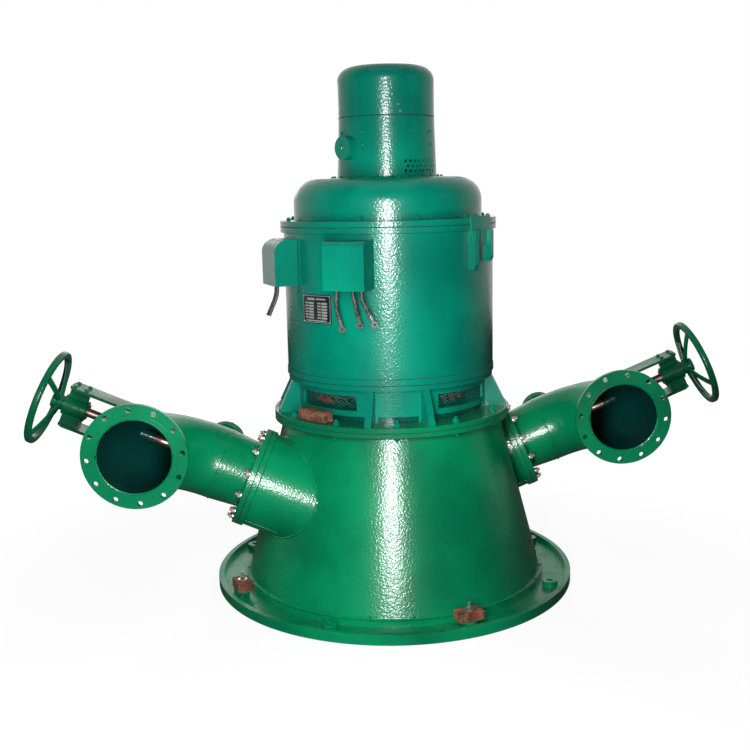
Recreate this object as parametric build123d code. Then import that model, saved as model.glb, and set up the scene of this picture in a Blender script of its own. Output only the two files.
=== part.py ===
# Vertical two-nozzle hydroelectric generating set: a bell-shaped turbine casing on a cast
# base ring, two inclined inlet nozzles with hand-operated needles, and a generator on top.
# Millimetres, +Z up, origin at the centre of the base ring on the floor, -Y is the front.
from build123d import *
import math
import os

# Base ring, outwards from the casing's foot
BASE_OPENING_INSET = 75
BASE_LEDGE_LAP = 13
BASE_TROUGH = 108
BASE_RIM_WALL = 24
BASE_RIM_HEIGHT = 46
BASE_PLATE = 20
ANCHOR_COUNT = 8
ANCHOR_BOSS_R = 35
ANCHOR_HOLE_R = 15

# Turbine casing
CONE_SPREAD = 192
CONE_HEAD_INSET = 42
CONE_WALL = 10
CASING_JOINT_Z = 808
CASING_FOOT_LIP = 9
CASING_FOOT_PLATE = 8
CASING_FLANGE_LAND = 103
FLANGE_PLATE = 22
EDGE_BREAK = 2

# Lower bracket between the casing and the generator
BRACKET_HEIGHT = 145
BRACKET_INSET = 34
BRACKET_WALL = 12
BRACKET_TURN = 2.5
BRACKET_TOP_PLATE = 24
BRACKET_TOP_INSET = 3
RIB_PAIRS = 4
RIB_HALF_ANGLE = 14.7
RIB_THICKNESS = 30
RIB_FOOT_INSET = 8
RIB_HEAD_INSET = 1
WINDOW_HALF_ANGLE = 21.5
WINDOW_SILL = 50
WINDOW_HEIGHT = 64
SLOT_HEIGHT = 26
WINDOW_SLOT_HALF_ANGLE = 26
POCKET_SLOT_HALF_ANGLE = 11.5
SCREEN_THICKNESS = 3
SCREEN_LAP = 8
SCREEN_LAP_ANGLE = 1.5

# Generator stator
STATOR_R = 476
STATOR_WALL = 12
STATOR_HEIGHT = 612
STATOR_FLANGE_LIP = 14
STATOR_FOOT_LIP = 3
STATOR_FLANGE = 26
STATOR_LEDGE = 24
CORE_HEIGHT = 430
CORE_TOOTH = 30
WINDING_WIDTH = 110
WINDING_CLEARANCE = 40
WINDING_DROP = 145
SEAT_GAP = 0.3
CUT_PAST = 5

# End shield and exciter housing
SHIELD_INSET = 50
SHIELD_HEIGHT = 180
SHIELD_FLANGE = 26
SHIELD_ROUND = 104
SHIELD_WALL = 14
EXCITER_FOOT_R = 224
EXCITER_TAPER = 8
EXCITER_HEIGHT = 263
EXCITER_WALL = 10
CAP_HEIGHT = 230
CAP_ROUND = 62
CAP_CROWN = 12
EXCITER_BOSS_AZ = -49
EXCITER_BOSS_R = 50
EXCITER_BOSS_STANDOUT = 38
EXCITER_BOSS_BORE_R = 12
EXCITER_BOSS_HEIGHT = 130
VENT_ROWS = 3
VENT_COLUMNS = 8
VENT_HOLE_R = 6.5
VENT_ROW_PITCH = 21
VENT_COLUMN_ANGLE = 6.2
VENT_MID_AZ = 45
VENT_HEIGHT = 26

# Nozzle branches: both axes run parallel to X and rise outwards
NOZZLE_OFFSET = 262
NOZZLE_TILT = 23.3
NOZZLE_AXIS_Z = 288
STUB_R = 214
STUB_WALL = 12
STUB_STANDOFF = 82
NOZZLE_FLANGE_LIP = 8.5
NOZZLE_FLANGE = 25
NECK_LENGTH = 163
NECK_TAPER = 11.5
PIPE_R = 162.5
PIPE_WALL = 8
BEND_R = 330
INLET_STRAIGHT = 28
INLET_FLANGE_LAND = 60
INLET_FLANGE = 26
INLET_RECESS = 6
INLET_FACE_LAND = 14
INLET_FACE_RISE = 3
INLET_BOLT_EDGE = 22.5
INLET_BOLT_COUNT = 12
INLET_HOLE_R = 11.5
INLET_PATTERN_TURN = 3

# Hand hole behind each nozzle pipe
HAND_HOLE_OFFSET = 189
HAND_HOLE_TILT = 18
HAND_HOLE_PIPE_R = 57
HAND_HOLE_WALL = 7
HAND_HOLE_FLANGE_LIP = 25
HAND_HOLE_FLANGE = 16
HAND_HOLE_STANDOUT = 62.5

# Needle spindle, gland, yoke and handwheel along the nozzle axis
SPINDLE_R = 20
SPINDLE_TIP_INSET = 161
NEEDLE_LENGTH = 90
RUN_FIT = 0.1
WALL_CLEARANCE = 6
GLAND_WALL = 22
GLAND_STANDOUT = 53.4
GLAND_FOLLOWER_LIP = 10
GLAND_FOLLOWER = 14
GLAND_ROOM = 217
ARM_ROOT = 130
ARM_END_INSET = 7
ARM_WIDTH = 120
UPPER_ARM_CLEARANCE = 34
UPPER_ARM_PLATE = 12
ARM_CHAMFER = 22
LOWER_ARM_CLEARANCE = 24
LOWER_ARM_PLATE = 13
BEARING_WALL = 18
BEARING_LENGTH = 102
BEARING_RIM = 9
SADDLE_WIDTH = 64
WEB_WIDTH = 34
WHEEL_END_PLAY = 0.3
SLEEVE_WALL = 6
HUB_WALL = 11
HUB_LENGTH = 55
COLLAR_WALL = 13
COLLAR_LENGTH = 7
SPINDLE_IN_HUB = 14
SPINDLE_HOLE_CLEARANCE = 2
WHEEL_RIM_R = 200
WHEEL_RIM_DEPTH = 32
WHEEL_RIM_WIDTH = 28
WHEEL_RIM_ROUND = 9
WHEEL_DISH = 48
WHEEL_SPOKES = 4
WHEEL_TURN = {"left": 40, "right": 65}
SPOKE_ROOT = 8
SPOKE_MID_LEAN = 18
SPOKE_RIM_LEAN = 22
SPOKE_WIDTHS = (14, 14, 16)
SPOKE_DEPTHS = (10, 8.5, 9)

# Terminal boxes, nameplate and lifting lugs on the stator
BOX_TOP_GAP = 25
BOX_HEIGHT = 200
MAIN_BOX_AZ = -19.5
MAIN_BOX_WIDTH = 180
MAIN_BOX_DEPTH = 124
MAIN_BOX_ROUND = 26
SMALL_BOX_AZ = -69.5
SMALL_BOX_WIDTH = 205
SMALL_BOX_DEPTH = 94
SMALL_BOX_ROUND = 58
BOX_LIP = 18
BOX_LIP_THICKNESS = 3
NAMEPLATE_AZ = -42.6
NAMEPLATE_WIDTH = 170
NAMEPLATE_HEIGHT = 124
NAMEPLATE_DROP = 318
NAMEPLATE_THICKNESS = 3
LUG_AZ = 52.6
LUG_FINGER_SPREAD = 7
LUG_STANDOUT = 40
LUG_FINGER_WIDTH = 24
LUG_LEFT_LENGTH = 167
LUG_RIGHT_LENGTH = 137
LUG_HEAD_HALF_ANGLE = 9
LUG_HEAD_THICKNESS = 8
LUG_HEAD_RISE = 10
LUG_APRON_DROP = 57
LUG_APRON_STANDOUT = 20

# Leads that hang out of the terminal boxes: radius, then the route of each in order
LEAD_R = 8
LEAD_ROUTES = {
    "lead_left": [
        (-230, -496, 1412), (-230, -496, 1388), (-234, -500, 1356), (-229, -495, 1320), (-221, -487, 1287)],
    "lead_middle": [
        (-162, -521, 1412), (-162, -521, 1390), (-156, -526, 1360), (-148, -523, 1330), (-143, -513, 1303)],
    "lead_right": [
        (-128, -530, 1412), (-128, -530, 1388), (-121, -535, 1361), (-107, -538, 1334), (-94, -535, 1308)],
}
LEAD_LUG_LENGTH = 44
LEAD_LUG_EYE_R = 14
LEAD_LUG_HOLE_R = 6
LEAD_LUG_THICKNESS = 4
CONTROL_LEAD_R = 6.5
CONTROL_LEAD_PITCH = 13.5
CONTROL_LEAD_COUNT = 3
CONTROL_LEAD_ACROSS = (-0.38, 0.925, 0)
CONTROL_LEAD_ROUTE = [
    (-500, -205, 1412), (-500, -205, 1382), (-510, -209, 1347), (-526, -216, 1312), (-540, -221, 1280)]

# Timber packing pieces left by the fitters
FLANGE_BLOCK_AZ = -44
FLANGE_BLOCK_OFFSET = 46
FLANGE_BLOCK_LENGTH = 172
FLANGE_BLOCK_DEPTH = 56
FLANGE_BLOCK_HEIGHT = 48
BASE_BLOCK_AZ = (-66, 22.5)
BASE_BLOCK_LENGTH = 120
BASE_BLOCK_DEPTH = 70
BASE_BLOCK_HEIGHT = 44
BASE_BLOCK_HOLE_R = 9

# Radii about the machine's axis, all from the stator's
STATOR_FLANGE_R = STATOR_R + STATOR_FLANGE_LIP
STATOR_FOOT_R = STATOR_R + STATOR_FOOT_LIP
STATOR_BORE_R = STATOR_R - STATOR_WALL
STATOR_LEDGE_R = STATOR_BORE_R - STATOR_LEDGE
WINDING_R_OUT = STATOR_LEDGE_R - WINDING_CLEARANCE
WINDING_R_IN = WINDING_R_OUT - WINDING_WIDTH
CORE_BORE_R = WINDING_R_IN - CORE_TOOTH
SHIELD_R = STATOR_R - SHIELD_INSET
EXCITER_HEAD_R = EXCITER_FOOT_R - EXCITER_TAPER
BRACKET_R = STATOR_R - BRACKET_INSET
BRACKET_BORE_R = BRACKET_R - BRACKET_WALL
BRACKET_TOP_R = STATOR_R - BRACKET_TOP_INSET
CASING_FLANGE_R = BRACKET_R + CASING_FLANGE_LAND
RIB_FOOT_R = CASING_FLANGE_R - RIB_FOOT_INSET
RIB_HEAD_R = BRACKET_TOP_R - RIB_HEAD_INSET
CONE_HEAD_R = CASING_FLANGE_R - CONE_HEAD_INSET
CONE_FOOT_R = CONE_HEAD_R + CONE_SPREAD
BASE_OPENING_R = CONE_FOOT_R - CONE_WALL - BASE_OPENING_INSET
BASE_LEDGE_R = CONE_FOOT_R + BASE_LEDGE_LAP
ANCHOR_CIRCLE_R = BASE_LEDGE_R + BASE_TROUGH / 2
BASE_R = BASE_LEDGE_R + BASE_TROUGH + BASE_RIM_WALL

# Heights up the machine
CONE_FOOT_Z = BASE_RIM_HEIGHT
CONE_HEAD_Z = CASING_JOINT_Z - FLANGE_PLATE
FOOT_FLANGE_TOP_Z = CASING_JOINT_Z + FLANGE_PLATE
BRACKET_TOP_Z = FOOT_FLANGE_TOP_Z + BRACKET_HEIGHT + BRACKET_TOP_PLATE
STATOR_FOOT_TOP_Z = BRACKET_TOP_Z + STATOR_FLANGE
STATOR_TOP_Z = STATOR_FOOT_TOP_Z + STATOR_HEIGHT
SHIELD_FOOT_Z = STATOR_TOP_Z + STATOR_FLANGE
SHIELD_TOP_Z = SHIELD_FOOT_Z + SHIELD_FLANGE + SHIELD_HEIGHT
EXCITER_TOP_Z = SHIELD_TOP_Z + EXCITER_HEIGHT
CAP_TOP_Z = EXCITER_TOP_Z + CAP_HEIGHT
BOX_FLOOR_Z = STATOR_TOP_Z - BOX_TOP_GAP - BOX_HEIGHT
NAMEPLATE_MID_Z = STATOR_TOP_Z - NAMEPLATE_DROP

# Radii about the nozzle axis, and stations along it from the shaft
NOZZLE_FLANGE_R = STUB_R + NOZZLE_FLANGE_LIP
NOZZLE_PIPE_R = PIPE_R - NECK_TAPER
INLET_FLANGE_R = PIPE_R + INLET_FLANGE_LAND
INLET_BOLT_CIRCLE_R = INLET_FLANGE_R - INLET_BOLT_EDGE
INLET_REACH = BEND_R + INLET_STRAIGHT
HAND_HOLE_BORE_R = HAND_HOLE_PIPE_R - HAND_HOLE_WALL
HAND_HOLE_FLANGE_R = HAND_HOLE_PIPE_R + HAND_HOLE_FLANGE_LIP
HAND_HOLE_REACH = PIPE_R + HAND_HOLE_STANDOUT
GLAND_R = SPINDLE_R + GLAND_WALL
GLAND_FOLLOWER_R = GLAND_R + GLAND_FOLLOWER_LIP
UPPER_ARM_TOP = GLAND_FOLLOWER_R + UPPER_ARM_CLEARANCE + UPPER_ARM_PLATE
LOWER_ARM_TOP = -(GLAND_FOLLOWER_R + LOWER_ARM_CLEARANCE)
SPINDLE_HOLE_R = SPINDLE_R + SPINDLE_HOLE_CLEARANCE
SLEEVE_R = SPINDLE_HOLE_R + SLEEVE_WALL
BEARING_BORE_R = SLEEVE_R + RUN_FIT
BEARING_R = SLEEVE_R + BEARING_WALL
HUB_R = SPINDLE_HOLE_R + HUB_WALL
COLLAR_R = SPINDLE_HOLE_R + COLLAR_WALL
STUB_INNER_END = CONE_HEAD_R / 2
NOZZLE_FLANGE_STATION = (CONE_FOOT_R + CONE_HEAD_R) / 2 + STUB_STANDOFF
SPINDLE_TIP_STATION = NOZZLE_FLANGE_STATION - SPINDLE_TIP_INSET
HAND_HOLE_STATION = NOZZLE_FLANGE_STATION + HAND_HOLE_OFFSET
BEND_START_STATION = NOZZLE_FLANGE_STATION + NECK_LENGTH
INLET_STATION = BEND_START_STATION + BEND_R
BEND_BACK_STATION = BEND_START_STATION + math.sqrt((BEND_R + PIPE_R) ** 2 - BEND_R ** 2)
GLAND_END_STATION = BEND_BACK_STATION + GLAND_STANDOUT
BEARING_START_STATION = GLAND_END_STATION + GLAND_ROOM
BEARING_END_STATION = BEARING_START_STATION + BEARING_LENGTH
ARM_START_STATION = BEND_BACK_STATION - ARM_ROOT
ARM_END_STATION = BEARING_END_STATION - ARM_END_INSET
HUB_START_STATION = BEARING_END_STATION + WHEEL_END_PLAY
HUB_END_STATION = HUB_START_STATION + HUB_LENGTH
RIM_STATION = HUB_START_STATION + HUB_LENGTH / 2 + WHEEL_DISH

parts = {}
STANDING = (Align.CENTER, Align.CENTER, Align.MIN)
HANGING = (Align.CENTER, Align.CENTER, Align.MAX)


def ring(outer, inner, low, high):
    """Flat ring about the machine's axis between two heights."""
    body = Cylinder(outer, high - low, align=STANDING)
    hole = Cylinder(inner, high - low + 2 * CUT_PAST, align=STANDING)
    return Pos(0, 0, low) * body - Pos(0, 0, low - CUT_PAST) * hole


def turned(points):
    """Solid of revolution about the machine's axis from (radius, height) corners."""
    outline = Plane.XZ * Polyline(*points, close=True)
    return revolve(make_face(outline), axis=Axis.Z)


def sector(radius, low, high, start, end):
    """Solid wedge about the machine's axis between two azimuths, 0 at the front."""
    wedge = Cylinder(radius, high - low, arc_size=end - start, align=(Align.NONE, Align.NONE, Align.MIN))
    return Pos(0, 0, low) * Rot(0, 0, start - 90) * wedge


def at_azimuth(azimuth, shape):
    """Turns a shape built at the front, in -Y, to its azimuth; positive is to the right."""
    return Rot(0, 0, azimuth) * shape


def eased(shape, radius):
    """Breaks the sharp circular edges of one radius, all round."""
    rims = [edge for edge in shape.edges().filter_by(GeomType.CIRCLE) if abs(edge.radius - radius) < 0.01]
    return chamfer(rims, EDGE_BREAK)


# Base ring: U-shaped casting with rim, floor plate, ledge under the casing and anchor bosses
base_ring = turned([
    (BASE_OPENING_R, 0), (BASE_R, 0), (BASE_R, BASE_RIM_HEIGHT), (BASE_R - BASE_RIM_WALL, BASE_RIM_HEIGHT),
    (BASE_R - BASE_RIM_WALL, BASE_PLATE), (BASE_LEDGE_R, BASE_PLATE), (BASE_LEDGE_R, BASE_RIM_HEIGHT),
    (BASE_OPENING_R, BASE_RIM_HEIGHT),
])
for place in PolarLocations(ANCHOR_CIRCLE_R, ANCHOR_COUNT, start_angle=180 / ANCHOR_COUNT):
    boss = Cylinder(ANCHOR_BOSS_R, BASE_RIM_HEIGHT, align=STANDING)
    base_ring += place * boss
for place in PolarLocations(ANCHOR_CIRCLE_R, ANCHOR_COUNT, start_angle=180 / ANCHOR_COUNT):
    base_ring -= place * Cylinder(ANCHOR_HOLE_R, 4 * BASE_RIM_HEIGHT)
parts["base_ring"] = eased(base_ring, BASE_R)

# Casing: conical shell of rolled plate with a thin foot ring and a flat flange on its head
cone_solid = turned([
    (0, CONE_FOOT_Z), (CONE_FOOT_R, CONE_FOOT_Z), (CONE_HEAD_R, CONE_HEAD_Z), (0, CONE_HEAD_Z)])
casing_cone = turned([
    (CONE_FOOT_R - CONE_WALL, CONE_FOOT_Z), (CONE_FOOT_R, CONE_FOOT_Z),
    (CONE_HEAD_R, CONE_HEAD_Z), (CONE_HEAD_R - CONE_WALL, CONE_HEAD_Z),
])
foot_ring = ring(CONE_FOOT_R + CASING_FOOT_LIP, CONE_FOOT_R - CONE_WALL, CONE_FOOT_Z,
                 CONE_FOOT_Z + CASING_FOOT_PLATE)
casing_cone += eased(foot_ring, CONE_FOOT_R + CASING_FOOT_LIP)
for name, low in (("casing_top_flange", CONE_HEAD_Z), ("foot_flange", CASING_JOINT_Z)):
    parts[name] = eased(ring(CASING_FLANGE_R, BRACKET_BORE_R, low, low + FLANGE_PLATE), CASING_FLANGE_R)

# Lower bracket: drum with four screened windows and four pairs of ribs; between the ribs the drum
# stops short of the foot flange, which leaves room for a spanner on the flange bolts
bracket_wall_top = FOOT_FLANGE_TOP_Z + BRACKET_HEIGHT
lower_bracket = ring(BRACKET_R, BRACKET_BORE_R, FOOT_FLANGE_TOP_Z, bracket_wall_top)
lower_bracket += ring(BRACKET_TOP_R, BRACKET_BORE_R, bracket_wall_top, BRACKET_TOP_Z)
rib_outline = Plane.YZ * Polyline(
    (-(BRACKET_R - BRACKET_WALL / 2), FOOT_FLANGE_TOP_Z), (-RIB_FOOT_R, FOOT_FLANGE_TOP_Z),
    (-RIB_FOOT_R, FOOT_FLANGE_TOP_Z + BRACKET_WALL), (-RIB_HEAD_R, bracket_wall_top),
    (-(BRACKET_R - BRACKET_WALL / 2), bracket_wall_top), close=True)
rib = extrude(make_face(rib_outline), amount=RIB_THICKNESS / 2, both=True)
window_screens = []
for pair in range(RIB_PAIRS):
    pair_az = BRACKET_TURN + pair * 360 / RIB_PAIRS
    window_az = pair_az + 180 / RIB_PAIRS
    sill_z = FOOT_FLANGE_TOP_Z + WINDOW_SILL
    lintel_z = sill_z + WINDOW_HEIGHT
    for rib_side in (-1, 1):
        lower_bracket += at_azimuth(pair_az + rib_side * RIB_HALF_ANGLE, rib)
    for slot_az, half_angle in ((pair_az, POCKET_SLOT_HALF_ANGLE), (window_az, WINDOW_SLOT_HALF_ANGLE)):
        slot_top = FOOT_FLANGE_TOP_Z + SLOT_HEIGHT
        slot = sector(BRACKET_R + CUT_PAST, FOOT_FLANGE_TOP_Z - CUT_PAST, slot_top,
                      slot_az - half_angle, slot_az + half_angle)
        lower_bracket -= slot - Cylinder(BRACKET_BORE_R - CUT_PAST, 4 * slot_top)
    window_ends = (window_az - WINDOW_HALF_ANGLE, window_az + WINDOW_HALF_ANGLE)
    window = sector(BRACKET_R + CUT_PAST, sill_z, lintel_z, *window_ends)
    lower_bracket -= window - Cylinder(BRACKET_BORE_R - CUT_PAST, 4 * lintel_z)
    screen_r = BRACKET_BORE_R - SEAT_GAP
    screen = sector(screen_r, sill_z - SCREEN_LAP, lintel_z + SCREEN_LAP,
                    window_ends[0] - SCREEN_LAP_ANGLE, window_ends[1] + SCREEN_LAP_ANGLE)
    screen_bore = Cylinder(screen_r - SCREEN_THICKNESS, 4 * lintel_z)
    window_screens.append(screen - screen_bore)
parts["lower_bracket"] = lower_bracket
parts["window_screens"] = Compound(children=[screen.solid() for screen in window_screens])

# Stator: rolled frame with a foot flange and a top flange, core and end windings inside
stator_frame = ring(STATOR_FOOT_R, STATOR_LEDGE_R, BRACKET_TOP_Z, STATOR_FOOT_TOP_Z)
stator_frame += ring(STATOR_R, STATOR_BORE_R, STATOR_FOOT_TOP_Z, STATOR_TOP_Z)
parts["stator_frame"] = stator_frame
stator_top_flange = ring(STATOR_FLANGE_R, STATOR_BORE_R, STATOR_TOP_Z, SHIELD_FOOT_Z)
parts["stator_top_flange"] = eased(stator_top_flange, STATOR_FLANGE_R)
core_top = STATOR_FOOT_TOP_Z + CORE_HEIGHT
parts["stator_core"] = ring(STATOR_BORE_R - SEAT_GAP, CORE_BORE_R, STATOR_FOOT_TOP_Z, core_top)
winding_heads = ring(WINDING_R_OUT, WINDING_R_IN, STATOR_FOOT_TOP_Z - WINDING_DROP, STATOR_FOOT_TOP_Z)
winding_rims = winding_heads.edges().group_by(Axis.Z)[0]
parts["winding_heads"] = fillet(winding_rims, (WINDING_R_OUT - WINDING_R_IN) * 0.4)

# End shield: deep rounded cover with a bolting flange, and the exciter housing on top of it
shield_drum_z = SHIELD_FOOT_Z + SHIELD_FLANGE
shield_flange = ring(STATOR_FLANGE_R, SHIELD_R - SHIELD_WALL, SHIELD_FOOT_Z, shield_drum_z)
shield_outer = Pos(0, 0, shield_drum_z) * Cylinder(SHIELD_R, SHIELD_HEIGHT, align=STANDING)
shield_outer = fillet(shield_outer.edges().group_by(Axis.Z)[-1], SHIELD_ROUND)
shield_inner = Pos(0, 0, shield_drum_z) * Cylinder(
    SHIELD_R - SHIELD_WALL, SHIELD_HEIGHT - SHIELD_WALL, align=STANDING)
shield_inner = fillet(shield_inner.edges().group_by(Axis.Z)[-1], SHIELD_ROUND - SHIELD_WALL)
parts["end_shield"] = eased(shield_flange, STATOR_FLANGE_R) + (shield_outer - shield_inner)

exciter_cover = turned([
    (EXCITER_FOOT_R - EXCITER_WALL, SHIELD_TOP_Z), (EXCITER_FOOT_R, SHIELD_TOP_Z),
    (EXCITER_HEAD_R, EXCITER_TOP_Z), (EXCITER_HEAD_R - EXCITER_WALL, EXCITER_TOP_Z),
])
exciter_core = turned([
    (0, SHIELD_TOP_Z), (EXCITER_FOOT_R - EXCITER_WALL, SHIELD_TOP_Z),
    (EXCITER_HEAD_R - EXCITER_WALL, EXCITER_TOP_Z), (0, EXCITER_TOP_Z),
])
boss_z = SHIELD_TOP_Z + EXCITER_BOSS_HEIGHT
boss_reach = EXCITER_FOOT_R + EXCITER_BOSS_STANDOUT
exciter_boss = Pos(0, 0, boss_z) * Rot(90, 0, 0) * Cylinder(
    EXCITER_BOSS_R, boss_reach, align=STANDING)
boss_bore = Pos(0, 0, boss_z) * Rot(90, 0, 0) * Cylinder(
    EXCITER_BOSS_BORE_R, boss_reach + CUT_PAST, align=STANDING)
exciter_cover += at_azimuth(EXCITER_BOSS_AZ, exciter_boss) - exciter_core
exciter_cover -= at_azimuth(EXCITER_BOSS_AZ, boss_bore)
for row in range(VENT_ROWS):
    for column in range(VENT_COLUMNS):
        vent_az = VENT_MID_AZ + (column - VENT_COLUMNS / 2 + row % 2 / 2) * VENT_COLUMN_ANGLE
        vent = Pos(0, 0, SHIELD_TOP_Z + VENT_HEIGHT + row * VENT_ROW_PITCH) * Rot(90, 0, 0) * Cylinder(
            VENT_HOLE_R, EXCITER_FOOT_R + CUT_PAST, align=STANDING)
        exciter_cover -= at_azimuth(vent_az, vent)
parts["exciter_cover"] = eased(exciter_cover, EXCITER_HEAD_R)

cap_drum_top = CAP_TOP_Z - CAP_CROWN
exciter_cap = Pos(0, 0, EXCITER_TOP_Z) * Cylinder(EXCITER_HEAD_R, cap_drum_top - EXCITER_TOP_Z, align=STANDING)
exciter_cap = chamfer(exciter_cap.edges().group_by(Axis.Z)[0], EDGE_BREAK)
exciter_cap = fillet(exciter_cap.edges().group_by(Axis.Z)[-1], CAP_ROUND)
crown_r = EXCITER_HEAD_R - CAP_ROUND
crown_mid = (crown_r / 2, CAP_TOP_Z - CAP_CROWN / 4)
crown_arc = Plane.XZ * ThreePointArc((0, CAP_TOP_Z), crown_mid, (crown_r, cap_drum_top))
crown_sides = Plane.XZ * Polyline((crown_r, cap_drum_top), (0, cap_drum_top), (0, CAP_TOP_Z))
exciter_cap += revolve(make_face(crown_arc.edges() + crown_sides.edges()), axis=Axis.Z)
cap_hollow = Pos(0, 0, EXCITER_TOP_Z) * Cylinder(
    EXCITER_HEAD_R - EXCITER_WALL, CAP_HEIGHT - CAP_CROWN - EXCITER_WALL, align=STANDING)
exciter_cap -= fillet(cap_hollow.edges().group_by(Axis.Z)[-1], CAP_ROUND - EXCITER_WALL)
parts["exciter_cap"] = exciter_cap

# Nozzle branch, built for the left side with its axis along local X and local Y to the front
tilt = math.radians(NOZZLE_TILT)
branch_plane = Plane(
    origin=(0, 0, 0), x_dir=(-math.cos(tilt), 0, math.sin(tilt)), z_dir=(math.sin(tilt), 0, math.cos(tilt)))


def on_branch(side, shape):
    """Places a branch piece on the left (-1) or, mirrored, on the right (+1) of the machine."""
    placed = branch_plane.location * shape
    if side > 0:
        placed = mirror(placed, about=Plane.YZ)
    return Pos(0, side * NOZZLE_OFFSET, NOZZLE_AXIS_Z) * placed


def along(radius, start, end):
    """Round bar on the branch axis between two stations."""
    bar = Cylinder(radius, end - start, align=STANDING)
    return Pos(start, 0, 0) * Rot(0, 90, 0) * bar


def tube(outer, inner, start, end):
    """Round tube on the branch axis between two stations."""
    return along(outer, start, end) - along(inner, start - CUT_PAST, end + CUT_PAST)


def taper(near_r, far_r, start, end):
    """Truncated cone on the branch axis."""
    cone = Cone(near_r, far_r, end - start, align=STANDING)
    return Pos(start, 0, 0) * Rot(0, 90, 0) * cone


def across(radius, start, end):
    """Round bar along local Y at the inlet station, towards the inlet face."""
    bar = Cylinder(radius, end - start, align=STANDING)
    return Pos(INLET_STATION, start, 0) * Rot(-90, 0, 0) * bar


def nozzle_stub():
    """Tube from the casing wall to the nozzle flange, with that flange."""
    stub = tube(STUB_R, STUB_R - STUB_WALL, STUB_INNER_END, NOZZLE_FLANGE_STATION)
    flange = tube(NOZZLE_FLANGE_R, STUB_R - STUB_WALL, NOZZLE_FLANGE_STATION - NOZZLE_FLANGE,
                  NOZZLE_FLANGE_STATION)
    return stub + eased(flange, NOZZLE_FLANGE_R)


def nozzle_pipe():
    """Tapered neck with the pipe-side nozzle flange."""
    flange_end = NOZZLE_FLANGE_STATION + NOZZLE_FLANGE
    neck_bore_r = NOZZLE_PIPE_R - PIPE_WALL
    pipe = taper(NOZZLE_PIPE_R, PIPE_R, flange_end, BEND_START_STATION)
    pipe -= taper(neck_bore_r, PIPE_R - PIPE_WALL, flange_end, BEND_START_STATION)
    flange = tube(NOZZLE_FLANGE_R, neck_bore_r, NOZZLE_FLANGE_STATION, flange_end)
    return pipe + eased(flange, NOZZLE_FLANGE_R)


def pipe_bend(radius):
    """Solid quarter bend with its short straight end, of one section radius."""
    section = Plane(origin=(BEND_START_STATION, 0, 0), z_dir=(1, 0, 0)) * Circle(radius)
    bend = revolve(section, axis=Axis((BEND_START_STATION, BEND_R, 0), (0, 0, 1)), revolution_arc=90)
    return bend + across(radius, BEND_R, INLET_REACH - INLET_RECESS)


def hand_hole_bar(radius, start, end):
    """Round bar on the hand hole's axis, measured out from the branch axis."""
    bar = Cylinder(radius, end - start, align=STANDING)
    return Pos(HAND_HOLE_STATION, 0, 0) * Rot(90 - HAND_HOLE_TILT, 0, 0) * Pos(0, 0, start) * bar


def inlet_flange():
    """Drilled inlet flange around the pipe's end."""
    face = INLET_REACH
    flange = across(INLET_FLANGE_R, face - INLET_FLANGE, face - INLET_FACE_RISE)
    flange += across(PIPE_R + INLET_FACE_LAND, face - INLET_FLANGE, face)
    flange -= across(PIPE_R + SEAT_GAP, 0, face + CUT_PAST)
    for hole in range(INLET_BOLT_COUNT):
        angle = math.radians(INLET_PATTERN_TURN + hole * 360 / INLET_BOLT_COUNT)
        offset = Pos(INLET_BOLT_CIRCLE_R * math.cos(angle), 0, INLET_BOLT_CIRCLE_R * math.sin(angle))
        flange -= offset * across(INLET_HOLE_R, face - INLET_FLANGE - CUT_PAST, face + CUT_PAST)
    return eased(flange, INLET_FLANGE_R)


def yoke_arm(top, thickness):
    """Flat yoke arm from the bend to the bearing, its outer corners cut off."""
    length = ARM_END_STATION - ARM_START_STATION
    arm = Pos(ARM_START_STATION + length / 2, 0, top) * Box(length, ARM_WIDTH, thickness, align=HANGING)
    corner_edges = arm.edges().filter_by(Axis.Z).group_by(Axis.X)[-1]
    return chamfer(corner_edges, ARM_CHAMFER)


def wheel_bearing():
    """Sleeve for the handwheel's nut, held by a web above and a saddle below."""
    mid = (BEARING_START_STATION + BEARING_END_STATION) / 2
    length = BEARING_LENGTH - 2 * BEARING_RIM
    web_top = UPPER_ARM_TOP - UPPER_ARM_PLATE
    web = Pos(mid, 0, 0) * Box(length, WEB_WIDTH, web_top, align=STANDING)
    saddle = Pos(mid, 0, 0) * Box(length, SADDLE_WIDTH, -LOWER_ARM_TOP, align=HANGING)
    bearing = along(BEARING_R, BEARING_START_STATION, BEARING_END_STATION) + web + saddle
    return bearing - along(BEARING_BORE_R, BEARING_START_STATION - CUT_PAST, BEARING_END_STATION + CUT_PAST)


def gland():
    """Stuffing box on the outside of the bend, with its follower flange."""
    follower_end = GLAND_END_STATION + GLAND_FOLLOWER
    body = along(GLAND_R, INLET_STATION - BEND_R / 2, GLAND_END_STATION)
    body += along(GLAND_FOLLOWER_R, GLAND_END_STATION, follower_end)
    body -= pipe_bend(PIPE_R)
    return body - along(SPINDLE_R + RUN_FIT, 0, follower_end + CUT_PAST)


def spindle():
    """Needle spindle from the tip inside the nozzle to its end inside the handwheel hub."""
    end = HUB_END_STATION - SPINDLE_IN_HUB
    needle_end = SPINDLE_TIP_STATION + NEEDLE_LENGTH
    return taper(SPINDLE_R / 5, SPINDLE_R, SPINDLE_TIP_STATION, needle_end) + along(SPINDLE_R, needle_end, end)


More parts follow.
